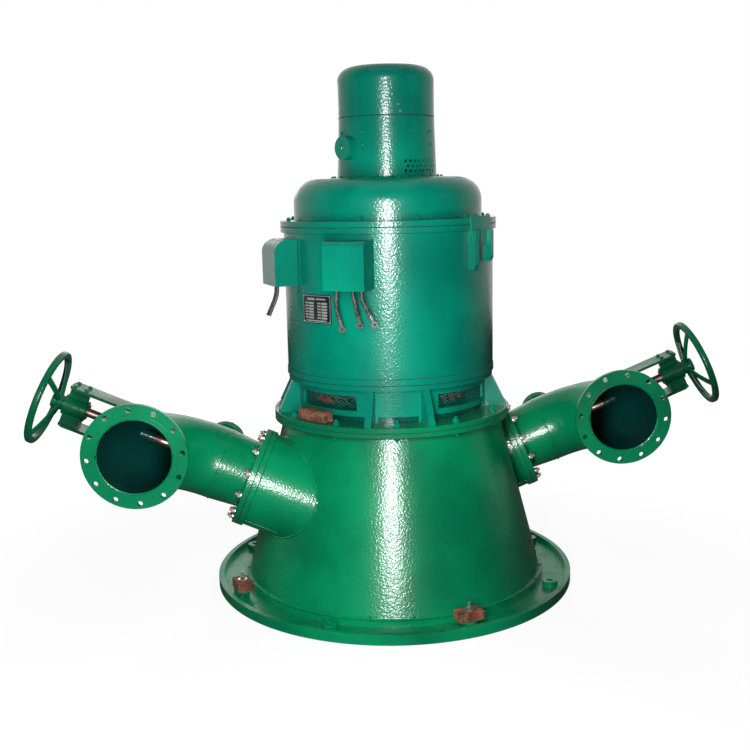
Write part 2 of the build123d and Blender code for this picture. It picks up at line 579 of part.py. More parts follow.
def wheel_spoke():
    """One dished spoke from the hub to the rim, in local +Z."""
    hub_mid = HUB_START_STATION + HUB_LENGTH / 2
    stations = (
        (hub_mid, HUB_R - SPOKE_ROOT, 0),
        (hub_mid + WHEEL_DISH * 0.3, WHEEL_RIM_R * 0.5, SPOKE_MID_LEAN),
        (RIM_STATION, WHEEL_RIM_R, SPOKE_RIM_LEAN),
    )
    sections = []
    for (station, radius, lean), half_width, half_depth in zip(stations, SPOKE_WIDTHS, SPOKE_DEPTHS):
        outward = (math.sin(math.radians(lean)), 0, math.cos(math.radians(lean)))
        sections.append(Plane(origin=(station, 0, radius), x_dir=(0, 1, 0), z_dir=outward)
                        * Ellipse(half_width, half_depth))
    return loft(sections)


def handwheel(turn):
    """Dished handwheel with its hub, nut sleeve and retaining collar, its spokes turned to one angle."""
    wheel = tube(WHEEL_RIM_R + WHEEL_RIM_DEPTH / 2, WHEEL_RIM_R - WHEEL_RIM_DEPTH / 2,
                 RIM_STATION - WHEEL_RIM_WIDTH / 2, RIM_STATION + WHEEL_RIM_WIDTH / 2)
    wheel = fillet(wheel.edges().filter_by(GeomType.CIRCLE), WHEEL_RIM_ROUND)
    for number in range(WHEEL_SPOKES):
        wheel += Rot(turn + number * 360 / WHEEL_SPOKES, 0, 0) * wheel_spoke()
    wheel += along(HUB_R, HUB_START_STATION, HUB_END_STATION)
    collar_end = BEARING_START_STATION - WHEEL_END_PLAY
    wheel += along(SLEEVE_R, collar_end - COLLAR_LENGTH, HUB_START_STATION)
    wheel += along(COLLAR_R, collar_end - COLLAR_LENGTH, collar_end)
    return wheel - along(SPINDLE_HOLE_R, 0, HUB_END_STATION + CUT_PAST)


branch_shell = pipe_bend(PIPE_R) - pipe_bend(PIPE_R - PIPE_WALL)
branch_shell -= across(PIPE_R - PIPE_WALL, INLET_REACH - INLET_RECESS - CUT_PAST, INLET_REACH)
branch_shell -= along(SPINDLE_R + WALL_CLEARANCE, BEND_START_STATION, GLAND_END_STATION)
bend_envelope = pipe_bend(PIPE_R)
neck_envelope = taper(NOZZLE_PIPE_R, PIPE_R, NOZZLE_FLANGE_STATION + NOZZLE_FLANGE, BEND_START_STATION)
hand_hole_cut = hand_hole_bar(HAND_HOLE_BORE_R, 0, HAND_HOLE_REACH)
hand_hole_inner_end = HAND_HOLE_REACH - 2 * HAND_HOLE_FLANGE
hand_hole_neck = hand_hole_bar(HAND_HOLE_PIPE_R, 0, HAND_HOLE_REACH - HAND_HOLE_FLANGE)
hand_hole_neck += eased(
    hand_hole_bar(HAND_HOLE_FLANGE_R, hand_hole_inner_end, HAND_HOLE_REACH - HAND_HOLE_FLANGE),
    HAND_HOLE_FLANGE_R)
hand_hole_neck -= hand_hole_cut + neck_envelope + bend_envelope
hand_hole_cover = eased(
    hand_hole_bar(HAND_HOLE_FLANGE_R, HAND_HOLE_REACH - HAND_HOLE_FLANGE, HAND_HOLE_REACH),
    HAND_HOLE_FLANGE_R)
upper_arm = yoke_arm(UPPER_ARM_TOP, UPPER_ARM_PLATE) - bend_envelope
lower_arm = yoke_arm(LOWER_ARM_TOP, LOWER_ARM_PLATE) - bend_envelope

for side, name in ((-1, "left"), (1, "right")):
    stub_bore = on_branch(side, along(STUB_R - STUB_WALL, STUB_INNER_END, NOZZLE_FLANGE_STATION))
    parts["nozzle_stub_" + name] = on_branch(side, nozzle_stub()) - cone_solid
    casing_cone -= stub_bore
    parts["nozzle_pipe_" + name] = on_branch(side, nozzle_pipe() - hand_hole_cut)
    parts["elbow_" + name] = on_branch(side, branch_shell - hand_hole_cut)
    parts["inlet_flange_" + name] = on_branch(side, inlet_flange())
    parts["hand_hole_" + name] = on_branch(side, hand_hole_neck)
    parts["hand_hole_cover_" + name] = on_branch(side, hand_hole_cover)
    parts["gland_" + name] = on_branch(side, gland())
    parts["yoke_upper_arm_" + name] = on_branch(side, upper_arm)
    parts["yoke_lower_arm_" + name] = on_branch(side, lower_arm)
    parts["wheel_bearing_" + name] = on_branch(side, wheel_bearing())
    parts["handwheel_" + name] = on_branch(side, handwheel(WHEEL_TURN[name]))
    parts["spindle_" + name] = on_branch(side, spindle())
parts["casing_cone"] = casing_cone


def terminal_box(width, depth, top_round):
    """Sheet box on the round stator: rounded top front edge, and a screwed lip along both sides."""
    front = STATOR_R + depth
    box = Pos(0, -front, BOX_FLOOR_Z) * Box(width, front - STATOR_R / 2, BOX_HEIGHT,
                                            align=(Align.CENTER, Align.MIN, Align.MIN))
    top_front = box.edges().filter_by(Axis.X).group_by(Axis.Y)[0].group_by(Axis.Z)[-1]
    box = fillet(top_front, top_round)
    lip_half_angle = math.degrees((width / 2 + BOX_LIP) / STATOR_R)
    lip_r = STATOR_R + SEAT_GAP + BOX_LIP_THICKNESS
    box += sector(lip_r, BOX_FLOOR_Z, BOX_FLOOR_Z + BOX_HEIGHT, -lip_half_angle, lip_half_angle)
    return box - Cylinder(STATOR_R + SEAT_GAP, 4 * BOX_FLOOR_Z)


main_box = terminal_box(MAIN_BOX_WIDTH, MAIN_BOX_DEPTH, MAIN_BOX_ROUND)
small_box = terminal_box(SMALL_BOX_WIDTH, SMALL_BOX_DEPTH, SMALL_BOX_ROUND)
parts["terminal_box_main"] = at_azimuth(MAIN_BOX_AZ, main_box)
parts["terminal_box_small"] = at_azimuth(SMALL_BOX_AZ, small_box)

# Nameplate: thin sheet rolled to the stator's curve
plate_half_angle = math.degrees(NAMEPLATE_WIDTH / 2 / STATOR_R)
plate_low = NAMEPLATE_MID_Z - NAMEPLATE_HEIGHT / 2
plate_high = NAMEPLATE_MID_Z + NAMEPLATE_HEIGHT / 2
nameplate = sector(STATOR_R + SEAT_GAP + NAMEPLATE_THICKNESS, plate_low, plate_high,
                   NAMEPLATE_AZ - plate_half_angle, NAMEPLATE_AZ + plate_half_angle)
parts["nameplate"] = nameplate - Cylinder(STATOR_R + SEAT_GAP, 4 * plate_high)

# Lifting lugs: on each side of the stator a curved head against the flanges, an apron under them
# and two welded fingers
lugs = []
lug_reach = STATOR_R + LUG_STANDOUT
for lug_az in (LUG_AZ, LUG_AZ + 180):
    head_r = STATOR_FLANGE_R + SEAT_GAP
    lug = sector(head_r + LUG_HEAD_THICKNESS, STATOR_TOP_Z, SHIELD_FOOT_Z + SHIELD_FLANGE + LUG_HEAD_RISE,
                 lug_az - LUG_HEAD_HALF_ANGLE, lug_az + LUG_HEAD_HALF_ANGLE)
    lug -= Cylinder(head_r, 4 * STATOR_TOP_Z)
    apron = sector(STATOR_R + LUG_APRON_STANDOUT, STATOR_TOP_Z - LUG_APRON_DROP, STATOR_TOP_Z,
                   lug_az - LUG_HEAD_HALF_ANGLE, lug_az + LUG_HEAD_HALF_ANGLE)
    lug += apron - Cylinder(STATOR_R + SEAT_GAP, 4 * STATOR_TOP_Z)
    for finger_side, finger_length in ((-1, LUG_LEFT_LENGTH), (1, LUG_RIGHT_LENGTH)):
        finger = Box(LUG_FINGER_WIDTH, lug_reach - STATOR_R / 2, finger_length,
                     align=(Align.CENTER, Align.MIN, Align.MAX))
        finger = Pos(0, -lug_reach, STATOR_TOP_Z) * finger
        finger_tip = finger.edges().filter_by(Axis.X).group_by(Axis.Y)[0].group_by(Axis.Z)[0]
        finger = fillet(finger_tip, LUG_FINGER_WIDTH)
        finger -= Cylinder(STATOR_R + SEAT_GAP, 4 * STATOR_TOP_Z)
        lug += at_azimuth(lug_az + finger_side * LUG_FINGER_SPREAD, finger)
    lugs.append(lug.solid())
parts["lifting_lugs"] = Compound(children=lugs)


def corner_radii(points):
    """Radius of each corner's arc: 0.45 of the shorter run over the tangent of half the turn."""
    radii = []
    for before, corner, after in zip(points, points[1:], points[2:]):
        run_in = Vector(*corner) - Vector(*before)
        run_out = Vector(*after) - Vector(*corner)
        half_turn = math.radians(run_in.get_angle(run_out)) / 2
        radii.append(0.45 * min(run_in.length, run_out.length) / math.tan(half_turn))
    return radii


def cord_path(name, points):
    """Straight runs joined by tangent arcs, with the arc radii printed."""
    radii = corner_radii(points)
    print(name, "arc radii", [round(radius) for radius in radii])
    return FilletPolyline(*points, radius=radii)


def end_plane(path, end, across_dir):
    """Plane across the path at one end, its Y pointing along across_dir as far as it can."""
    direction = path % end
    x_dir = Vector(*across_dir).cross(direction)
    return Plane(origin=path @ end, x_dir=x_dir, z_dir=direction)


def lead_lug(path):
    """Crimped cable lug: a flattened tongue with an eye, beyond the lead's end."""
    plane = end_plane(path, 1, (0.3, 1, 0))
    barrel = Cylinder(LEAD_R, LEAD_LUG_LENGTH * 0.4, align=STANDING)
    tongue = Box(1.4 * LEAD_R, LEAD_LUG_THICKNESS, LEAD_LUG_LENGTH, align=STANDING)
    eye = Pos(0, 0, LEAD_LUG_LENGTH) * Rot(90, 0, 0) * Cylinder(LEAD_LUG_EYE_R, LEAD_LUG_THICKNESS)
    hole = Pos(0, 0, LEAD_LUG_LENGTH) * Rot(90, 0, 0) * Cylinder(LEAD_LUG_HOLE_R, 3 * LEAD_LUG_THICKNESS)
    return plane.location * (barrel + tongue + eye - hole)


for name, route in LEAD_ROUTES.items():
    path = cord_path(name, route)
    parts[name] = sweep(end_plane(path, 0, (0, 1, 0)) * Circle(LEAD_R), path=path)
    parts[name.replace("lead", "lead_lug")] = lead_lug(path)

# The control lead is three cables side by side
control_cables = []
for cable in range(CONTROL_LEAD_COUNT):
    sideways = (cable - (CONTROL_LEAD_COUNT - 1) / 2) * CONTROL_LEAD_PITCH * Vector(*CONTROL_LEAD_ACROSS)
    cable_route = [tuple(Vector(*point) + sideways) for point in CONTROL_LEAD_ROUTE]
    path = cord_path("control_lead", cable_route)
    control_cables.append(sweep(end_plane(path, 0, (0, 1, 0)) * Circle(CONTROL_LEAD_R), path=path).solid())
parts["control_lead"] = Compound(children=control_cables)

# Timber packing pieces on the casing flange and, held by studs, on the base ring
block = Box(FLANGE_BLOCK_LENGTH, FLANGE_BLOCK_DEPTH, FLANGE_BLOCK_HEIGHT, align=STANDING)
block_place = Pos(0, -(BRACKET_R + FLANGE_BLOCK_OFFSET), FOOT_FLANGE_TOP_Z)
parts["packing_block"] = at_azimuth(FLANGE_BLOCK_AZ, block_place * block)
base_blocks = []
for block_az in BASE_BLOCK_AZ:
    block = Box(BASE_BLOCK_LENGTH, BASE_BLOCK_DEPTH, BASE_BLOCK_HEIGHT, align=STANDING)
    block -= Cylinder(BASE_BLOCK_HOLE_R, 4 * BASE_BLOCK_HEIGHT)
    base_blocks.append(at_azimuth(block_az, Pos(0, -ANCHOR_CIRCLE_R, BASE_RIM_HEIGHT) * block).solid())
parts["base_blocks"] = Compound(children=base_blocks)

os.makedirs("parts", exist_ok=True)
for name, shape in parts.items():
    export_step(shape, "parts/" + name + ".step")
print(len(parts), "pieces, height", CAP_TOP_Z)
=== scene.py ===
# Looks of a vertical hydroelectric generating set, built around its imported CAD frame.
# Metres, +Z up, -Y is the front. Sections follow the machine as it is put together.
import math
import bmesh
import bpy
from mathutils import Matrix, Vector, noise


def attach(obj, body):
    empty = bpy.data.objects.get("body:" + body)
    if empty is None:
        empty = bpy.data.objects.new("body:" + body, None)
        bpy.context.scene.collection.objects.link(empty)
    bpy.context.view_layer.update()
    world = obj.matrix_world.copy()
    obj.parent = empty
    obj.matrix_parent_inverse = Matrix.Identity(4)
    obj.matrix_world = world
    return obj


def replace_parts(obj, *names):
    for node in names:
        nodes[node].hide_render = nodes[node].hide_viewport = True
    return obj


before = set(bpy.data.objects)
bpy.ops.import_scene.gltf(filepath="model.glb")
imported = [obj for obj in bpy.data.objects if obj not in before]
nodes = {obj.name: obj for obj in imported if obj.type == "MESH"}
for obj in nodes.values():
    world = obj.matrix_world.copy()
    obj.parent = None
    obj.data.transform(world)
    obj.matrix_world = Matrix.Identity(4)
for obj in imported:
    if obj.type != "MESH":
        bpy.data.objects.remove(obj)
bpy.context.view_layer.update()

# Studio: a pale floor and backdrop, one near key lamp that the gloss doesn't show, one tall window
# behind the camera that only draws the bright stripe down each round casing, a lamp for the back,
# and broad dim lamps above and beside. The camera is at eye height.
EYE = Vector((-0.1170, -4.6290, 1.7976))
EYE_YAW = math.radians(0.54)
EYE_PITCH = math.radians(10.22)
EYE_ROLL = math.radians(-1.20)
FOCAL = 48.11
SENSOR = 36.0

camera = bpy.data.objects.new("camera", bpy.data.cameras.new("camera"))
bpy.context.scene.collection.objects.link(camera)
camera.data.sensor_width = SENSOR
camera.data.lens = FOCAL
ahead = Vector((math.sin(EYE_YAW) * math.cos(EYE_PITCH), math.cos(EYE_YAW) * math.cos(EYE_PITCH),
                -math.sin(EYE_PITCH)))
level = Vector((math.cos(EYE_YAW), -math.sin(EYE_YAW), 0))
below = ahead.cross(level)
tilted_right = level * math.cos(EYE_ROLL) - below * math.sin(EYE_ROLL)
tilted_down = level * math.sin(EYE_ROLL) + below * math.cos(EYE_ROLL)
facing = Matrix((tilted_right, -tilted_down, -ahead)).transposed()
camera.matrix_world = Matrix.Translation(EYE) @ facing.to_4x4()
bpy.context.scene.camera = camera
bpy.context.scene.view_settings.view_transform = "Standard"


def lamp(name, place, target, width, height, power):
    """Soft rectangular lamp that faces a target."""
    data = bpy.data.lights.new(name, "AREA")
    data.shape = "RECTANGLE"
    data.size = width
    data.size_y = height
    data.energy = power
    made = bpy.data.objects.new(name, data)
    bpy.context.scene.collection.objects.link(made)
    made.location = place
    made.rotation_euler = (Vector(target) - Vector(place)).to_track_quat("-Z", "Y").to_euler()
    return made


key = lamp("key", (-0.30, -2.7, 1.45), (0, 0, 1.45), 0.6, 2.0, 68)
key.visible_glossy = False
key.visible_camera = False
lamp("left_bank", (-5.2, -1.2, 2.6), (0, 0, 1.0), 0.5, 2.4, 3)
lamp("right_bank", (5.0, -2.0, 3.4), (0, 0, 0.9), 0.5, 1.6, 3)
lamp("ceiling", (0, -1.0, 5.2), (0, 0, 0), 3.0, 2.0, 12)
lamp("back", (0.8, 4.4, 2.6), (0, 0, 1.0), 1.4, 1.4, 130).visible_glossy = False
lamp("window", (-0.28, -6.6, 1.86), (0, 0, 1.5), 0.78, 1.5, 800).visible_diffuse = False
glare = lamp("glare", (-0.6, 5.4, 2.5), (0, 0, 0.1), 4.2, 0.8, 16)
glare.visible_diffuse = False
glare.visible_camera = False


class Wire:
    """A socket in a shader tree: sums and products of sockets add their Math nodes."""

    def __init__(self, tree, socket=None):
        self.tree = tree
        self.socket = socket

    def node(self, kind, settings, values, output=0):
        """Adds a shader node, sets its settings, then its sockets, by value or by link."""
        made = self.tree.nodes.new("ShaderNode" + kind)
        for key, setting in settings.items():
            setattr(made, key, setting)
        for key, value in values.items():
            if isinstance(value, Wire):
                self.tree.links.new(value.socket, made.inputs[key])
            else:
                made.inputs[key].default_value = value
        return Wire(self.tree, made.outputs[output] if made.outputs else None)

    def maths(self, operation, first, second=0.0):
        return self.node("Math", {"operation": operation}, {0: first, 1: second})

    def __add__(self, other):
        return self.maths("ADD", self, other)

    def __radd__(self, other):
        return self.maths("ADD", other, self)

    def __sub__(self, other):
        return self.maths("SUBTRACT", self, other)

    def __rsub__(self, other):
        return self.maths("SUBTRACT", other, self)

    def __mul__(self, other):
        return self.maths("MULTIPLY", self, other)

    def __rmul__(self, other):
        return self.maths("MULTIPLY", other, self)


def srgb(red, green, blue):
    """Linear colour, with alpha, of a screen colour from 0 to 255."""
    shades = []
    for level_255 in (red, green, blue):
        value = level_255 / 255
        shades.append(value / 12.92 if value <= 0.04045 else ((value + 0.055) / 1.055) ** 2.4)
    return (*shades, 1.0)


def fresh(name):
    """New material with an empty tree, as a wire to build on."""
    material = bpy.data.materials.new(name)
    material.use_nodes = True
    material.node_tree.nodes.clear()
    return material, Wire(material.node_tree)


def finish_with(wire, surface):
    """Links a shader to the material's output."""
    wire.node("OutputMaterial", {"target": "ALL"}, {"Surface": surface})


def flecks(wire, place, scale, detail=3.0, rough=0.5):
    """Noise value on a place vector."""
    return wire.node("TexNoise", {}, {"Vector": place, "Scale": scale, "Detail": detail, "Roughness": rough})


def step(wire, value, low, high):
    """Rises smoothly from nought to one as a value goes from low to high."""
    return wire.node("MapRange", {"interpolation_type": "SMOOTHSTEP"},
                     {"Value": value, "From Min": low, "From Max": high, "To Min": 0.0, "To Max": 1.0})


def blend(wire, factor, first, second):
    """Colour mixed between two colours."""
    return wire.node("Mix", {"data_type": "RGBA"}, {0: factor, 6: first, 7: second}, 2)


BACKDROP = (1, 1, 1, 1)
UNDER_MACHINE = (0.90, 0.90, 0.90, 1)
SHADE_FROM = 1.1
SHADE_TO = 3.4
FLOOR_HALF = 9.0
floor_paper, wire = fresh("studio_paper")
seen = wire.node("LightPath", {}, {}, 0)
through = wire.node("LightPath", {}, {}, 6)
paper = wire.node("BsdfDiffuse", {}, {"Color": (0.14, 0.14, 0.14, 1)})
place = wire.node("TexCoord", {}, {}, 3)
distance = wire.node("VectorMath", {"operation": "LENGTH"}, {0: place}, 1)
shade = blend(wire, step(wire, distance, SHADE_FROM, SHADE_TO), UNDER_MACHINE, BACKDROP)
glow = wire.node("Emission", {}, {"Color": shade, "Strength": 1.0})
lit_paper = wire.node("AddShader", {}, {0: paper, 1: glow})
shown = wire.maths("MAXIMUM", seen, through)
finish_with(wire, wire.node("MixShader", {}, {0: shown, 1: paper, 2: lit_paper}))
grid = bmesh.new()
bmesh.ops.create_grid(grid, x_segments=1, y_segments=1, size=FLOOR_HALF)
floor_mesh = bpy.data.meshes.new("floor")
grid.to_mesh(floor_mesh)
grid.free()
floor_mesh.materials.append(floor_paper)
floor = bpy.data.objects.new("floor", floor_mesh)
bpy.context.scene.collection.objects.link(floor)

world = bpy.data.worlds.new("studio")
world.use_nodes = True
world.node_tree.nodes.clear()
bpy.context.scene.world = world
wire = Wire(world.node_tree)
seen = wire.node("LightPath", {}, {}, 0)
glossy = wire.node("LightPath", {}, {}, 3)
through = wire.node("LightPath", {}, {}, 6)
heading = wire.node("TexCoord", {}, {}, 0)
behind = step(wire, wire.node("SeparateXYZ", {}, {"Vector": heading}, 1), -0.25, 0.45)
white = wire.node("Background", {}, {"Color": (1, 1, 1, 1), "Strength": 1.0})
fill = wire.node("Background", {}, {"Color": (0.95, 0.98, 1, 1), "Strength": 0.035})
shown = wire.maths("MAXIMUM", wire.maths("MAXIMUM", seen, glossy * behind), through)
wire.node("OutputWorld", {}, {"Surface": wire.node("MixShader", {}, {0: shown, 1: fill, 2: white})})

# Generator leads: three stranded copper cables in dull brown-black rubber, about 16 mm thick,
# that hang out of the main box's floor, and three thinner control cables side by side out of
# the small box. Each generator lead ends in a tinned crimped lug.
LEAD_WIDTH = 0.016
CONTROL_WIDTH = 0.013
CONTROL_PITCH = 0.0135
CONTROL_SIDE = Vector((-0.38, 0.925, 0))
LEAD_ROUTES = {
    "left": [(-0.230, -0.496, 1.412), (-0.230, -0.496, 1.388), (-0.234, -0.500, 1.356),
             (-0.229, -0.495, 1.320), (-0.221, -0.487, 1.287)],
    "middle": [(-0.162, -0.521, 1.412), (-0.162, -0.521, 1.390), (-0.156, -0.526, 1.360),
               (-0.148, -0.523, 1.330), (-0.143, -0.513, 1.303)],
    "right": [(-0.128, -0.530, 1.412), (-0.128, -0.530, 1.388), (-0.121, -0.535, 1.361),
              (-0.107, -0.538, 1.334), (-0.094, -0.535, 1.308)],
}
CONTROL_ROUTE = [(-0.500, -0.205, 1.412), (-0.500, -0.205, 1.382), (-0.510, -0.209, 1.347),
                 (-0.526, -0.216, 1.312), (-0.540, -0.221, 1.280)]

lead_rubber, wire = fresh("lead_rubber")
place = wire.node("TexCoord", {}, {}, 3)
worn = step(wire, flecks(wire, place, 60), 0.42, 0.68)
rubber = wire.node("BsdfPrincipled", {}, {
    "Base Color": blend(wire, worn, srgb(46, 39, 44), srgb(102, 90, 94)),
    "Roughness": 0.5 + worn * 0.2,
    "Normal": wire.node("Bump", {}, {"Strength": 0.35, "Distance": 0.001,
                                     "Height": flecks(wire, place, 240)})})
finish_with(wire, rubber)


def cable(name, route, width):
    """Round cable along a smooth spline through its route."""
    curve = bpy.data.curves.new(name, "CURVE")
    curve.dimensions = "3D"
    curve.bevel_depth = width / 2
    curve.bevel_resolution = 4
    curve.use_fill_caps = True
    spline = curve.splines.new("NURBS")
    spline.points.add(len(route) - 1)
    for point, position in zip(spline.points, route):
        point.co = (*position, 1)
    spline.order_u = 3
    spline.use_endpoint_u = True
    spline.resolution_u = 12
    curve.materials.append(lead_rubber)
    made = bpy.data.objects.new(name, curve)
    bpy.context.scene.collection.objects.link(made)
    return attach(made, "machine")


for side, route in LEAD_ROUTES.items():
    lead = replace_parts(cable("cable_" + side, route, LEAD_WIDTH), "lead_" + side)
for number in range(3):
    route = [Vector(point) + (number - 1) * CONTROL_PITCH * CONTROL_SIDE for point in CONTROL_ROUTE]
    control = cable("control_cable_%d" % (number + 1), route, CONTROL_WIDTH)
    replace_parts(control, "control_lead")

# Lead lugs: crimped copper ends, tinned, whose CAD pieces keep their shape and get a dull,
# slightly pink tin finish.
tinned, wire = fresh("tinned_copper")
place = wire.node("TexCoord", {}, {}, 3)
rubbed = step(wire, flecks(wire, place, 90), 0.38, 0.62)
finish_with(wire, wire.node("BsdfPrincipled", {}, {
    "Base Color": blend(wire, rubbed, srgb(192, 178, 176), srgb(146, 122, 120)),
    "Metallic": 0.8, "Roughness": 0.32 + rubbed * 0.2,
    "Normal": wire.node("Bump", {}, {"Strength": 0.2, "Distance": 0.0005, "Height": rubbed})}))


def coat(material, *names):
    """Gives CAD nodes a material in all their slots."""
    for name in names:
        mesh = nodes[name].data
        mesh.materials.clear()
        mesh.materials.append(material)


coat(tinned, "lead_lug_left", "lead_lug_middle", "lead_lug_right")

# Enamel: glossy green paint brushed and sprayed over cast iron and rolled plate. The generator is a
# bluer green than the turbine casing. The spindle gear has a darker copy of the casing enamel, which
# is painted shade. Orange peel breaks the long highlights up into specks. The water ways inside the
# two inlet bends are a dark teal that is partly primer and partly painted shade.
TILT = math.radians(23.3)
BRANCH_OFFSET = 0.262
BRANCH_AXIS_Z = 0.288
BEND_START = 0.844
BEND_R = 0.330
INLET_STATION = 1.174
BORE_LIMIT = 0.1552


def in_bores(wire, place):
    """One inside the two bends and inlet mouths, nought elsewhere; both sides are mirror images."""
    across = wire.node("SeparateXYZ", {}, {"Vector": place}, 0)
    depth = wire.node("SeparateXYZ", {}, {"Vector": place}, 1)
    height = wire.node("SeparateXYZ", {}, {"Vector": place}, 2) - BRANCH_AXIS_Z
    side = wire.maths("SIGN", across)
    station = across * side * math.cos(TILT) + height * math.sin(TILT)
    up = height * math.cos(TILT) - across * side * math.sin(TILT)
    front = side * BRANCH_OFFSET - depth

    def length(first, second):
        pair = wire.node("CombineXYZ", {}, {"X": first, "Y": second})
        return wire.node("VectorMath", {"operation": "LENGTH"}, {0: pair}, 1)

    ring = length(length(station - BEND_START, front - BEND_R) - BEND_R, up)
    bend = wire.maths("LESS_THAN", ring, BORE_LIMIT) * wire.maths("GREATER_THAN", station, BEND_START)
    bend = bend * wire.maths("LESS_THAN", front, BEND_R)
    mouth = wire.maths("LESS_THAN", length(station - INLET_STATION, up), BORE_LIMIT)
    return wire.maths("MAXIMUM", bend, mouth * wire.maths("GREATER_THAN", front, BEND_R - 0.005))


def enamel(name, colour, shade, peel=0.60, bores=False):
    """Glossy enamel with a slow change of tone, runs, dust in the flat places and orange peel."""
    material, wire = fresh(name)
    place = wire.node("TexCoord", {}, {}, 3)
    tone = step(wire, flecks(wire, place, 2.2, 4.0), 0.34, 0.68)
    streaks = wire.node("Mapping", {}, {"Vector": place, "Scale": (9.0, 9.0, 1.2)})
    runs = step(wire, flecks(wire, streaks, 3.0, 5.0), 0.50, 0.80)
    specks = step(wire, flecks(wire, place, 95.0, 2.0), 0.72, 0.80)
    facing_up = wire.node("SeparateXYZ", {}, {"Vector": wire.node("TexCoord", {}, {}, 1)}, 2)
    dust = step(wire, facing_up, 0.80, 0.98) * step(wire, flecks(wire, place, 7.0, 5.0), 0.40, 0.70)
    body = blend(wire, tone, colour, shade)
    body = blend(wire, runs * 0.30, body, shade)
    body = blend(wire, specks * 0.35, body, srgb(58, 74, 58))
    body = blend(wire, dust * 0.16, body, srgb(96, 100, 78))
    chips = step(wire, flecks(wire, place, 21.0, 6.0, 0.62), 0.715, 0.73)
    if bores:
        body = blend(wire, chips * 0.8, body, srgb(84, 56, 40))
        # Painted shade: inside the bends and mouths the enamel turns a dark teal, partly primer and partly
        # the shade that lies in them.
        body = blend(wire, in_bores(wire, place), body, srgb(8, 68, 62))
    peel_height = flecks(wire, place, 110.0, 1.0, 0.5) * 0.9 + flecks(wire, place, 14.0, 2.0) * 0.4
    paint = wire.node("BsdfPrincipled", {}, {
        "Base Color": body,
        "Roughness": 0.20 + runs * 0.06 + specks * 0.30 + dust * 0.25,
        "Specular IOR Level": 0.18, "Coat Weight": 0.08, "Coat Roughness": 0.36,
        "Normal": wire.node("Bump", {}, {"Strength": peel, "Distance": 0.0020, "Height": peel_height})})
    finish_with(wire, paint)
    return material


generator_enamel = enamel("generator_enamel", srgb(1, 151, 122), srgb(1, 122, 103))
# Painted shade: the yokes, bearings and handwheels get the casing green made darker.
gear_shaded_enamel = enamel("gear_shaded_enamel", srgb(4, 128, 80), srgb(3, 88, 58))
casing_enamel = enamel("casing_enamel", srgb(3, 150, 98), srgb(2, 116, 78), bores=True)
coat(generator_enamel, "lower_bracket", "stator_frame", "stator_top_flange", "end_shield",
     "exciter_cover", "exciter_cap", "terminal_box_main", "terminal_box_small", "lifting_lugs")
coat(casing_enamel, "base_ring", "casing_cone", "casing_top_flange", "foot_flange")
for side in ("left", "right"):
    coat(casing_enamel, *(piece + "_" + side for piece in (
        "nozzle_stub", "nozzle_pipe", "elbow", "inlet_flange", "hand_hole", "hand_hole_cover", "gland")))
    coat(gear_shaded_enamel, *(piece + "_" + side for piece in (
        "yoke_upper_arm", "yoke_lower_arm", "wheel_bearing", "handwheel")))

# Base ring: the cast ring keeps its CAD shape. The casing's thin foot ring is held down on the ledge
# by small painted screws, and a weld runs round the foot of the cone.
UP = Vector((0, 0, 1))
CONE_FOOT_R = 0.695
FOOT_RING_TOP_Z = 0.054
FOOT_SCREW_COUNT = 24
FOOT_SCREW_R = 0.7000
FOOT_SCREW_AZ = 5
SHARP_ANGLE = math.radians(32)


def finish_mesh(name, mesh_data, material, body="machine"):
    """Object from a bmesh: normals outwards, smooth with sharp edges kept, riding a body."""
    bmesh.ops.recalc_face_normals(mesh_data, faces=mesh_data.faces)
    mesh = bpy.data.meshes.new(name)
    mesh_data.to_mesh(mesh)
    mesh_data.free()
    mesh.materials.append(material)
    for face in mesh.polygons:
        face.use_smooth = True
    mesh.set_sharp_from_angle(angle=SHARP_ANGLE)
    made = bpy.data.objects.new(name, mesh)
    bpy.context.scene.collection.objects.link(made)
    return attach(made, body)


def disc(mesh_data, place, axis, radius, height, sides, low=0.0, top_radius=None):
    """Closed prism or cone frustum that stands on a place along an axis."""
    turn = axis.to_track_quat("Z", "Y").to_matrix().to_4x4()
    middle = Matrix.Translation(place + axis * (low + height / 2))
    bmesh.ops.create_cone(mesh_data, cap_ends=True, segments=sides, radius1=radius,
                          radius2=radius if top_radius is None else top_radius, depth=height,
                          matrix=middle @ turn)


def screw(mesh_data, place, axis, flats, head, washer=0.0, stud=0.0):
    """Hexagon head or nut with its chamfered top, an optional washer and a protruding stud."""
    corner = flats / math.sqrt(3)
    low = 0.0
    if washer:
        low = flats * 0.12
        disc(mesh_data, place, axis, washer, low, 16)
    disc(mesh_data, place, axis, corner, head * 0.82, 6, low)
    disc(mesh_data, place, axis, corner, head * 0.18, 6, low + head * 0.82, corner * 0.86)
    if stud:
        disc(mesh_data, place, axis, flats * 0.32, stud, 10, low + head)


def polar(radius, azimuth, height):
    """Point about the machine's axis; azimuth in degrees, 0 at the front and positive to the right."""
    angle = math.radians(azimuth)
    return Vector((radius * math.sin(angle), -radius * math.cos(angle), height))


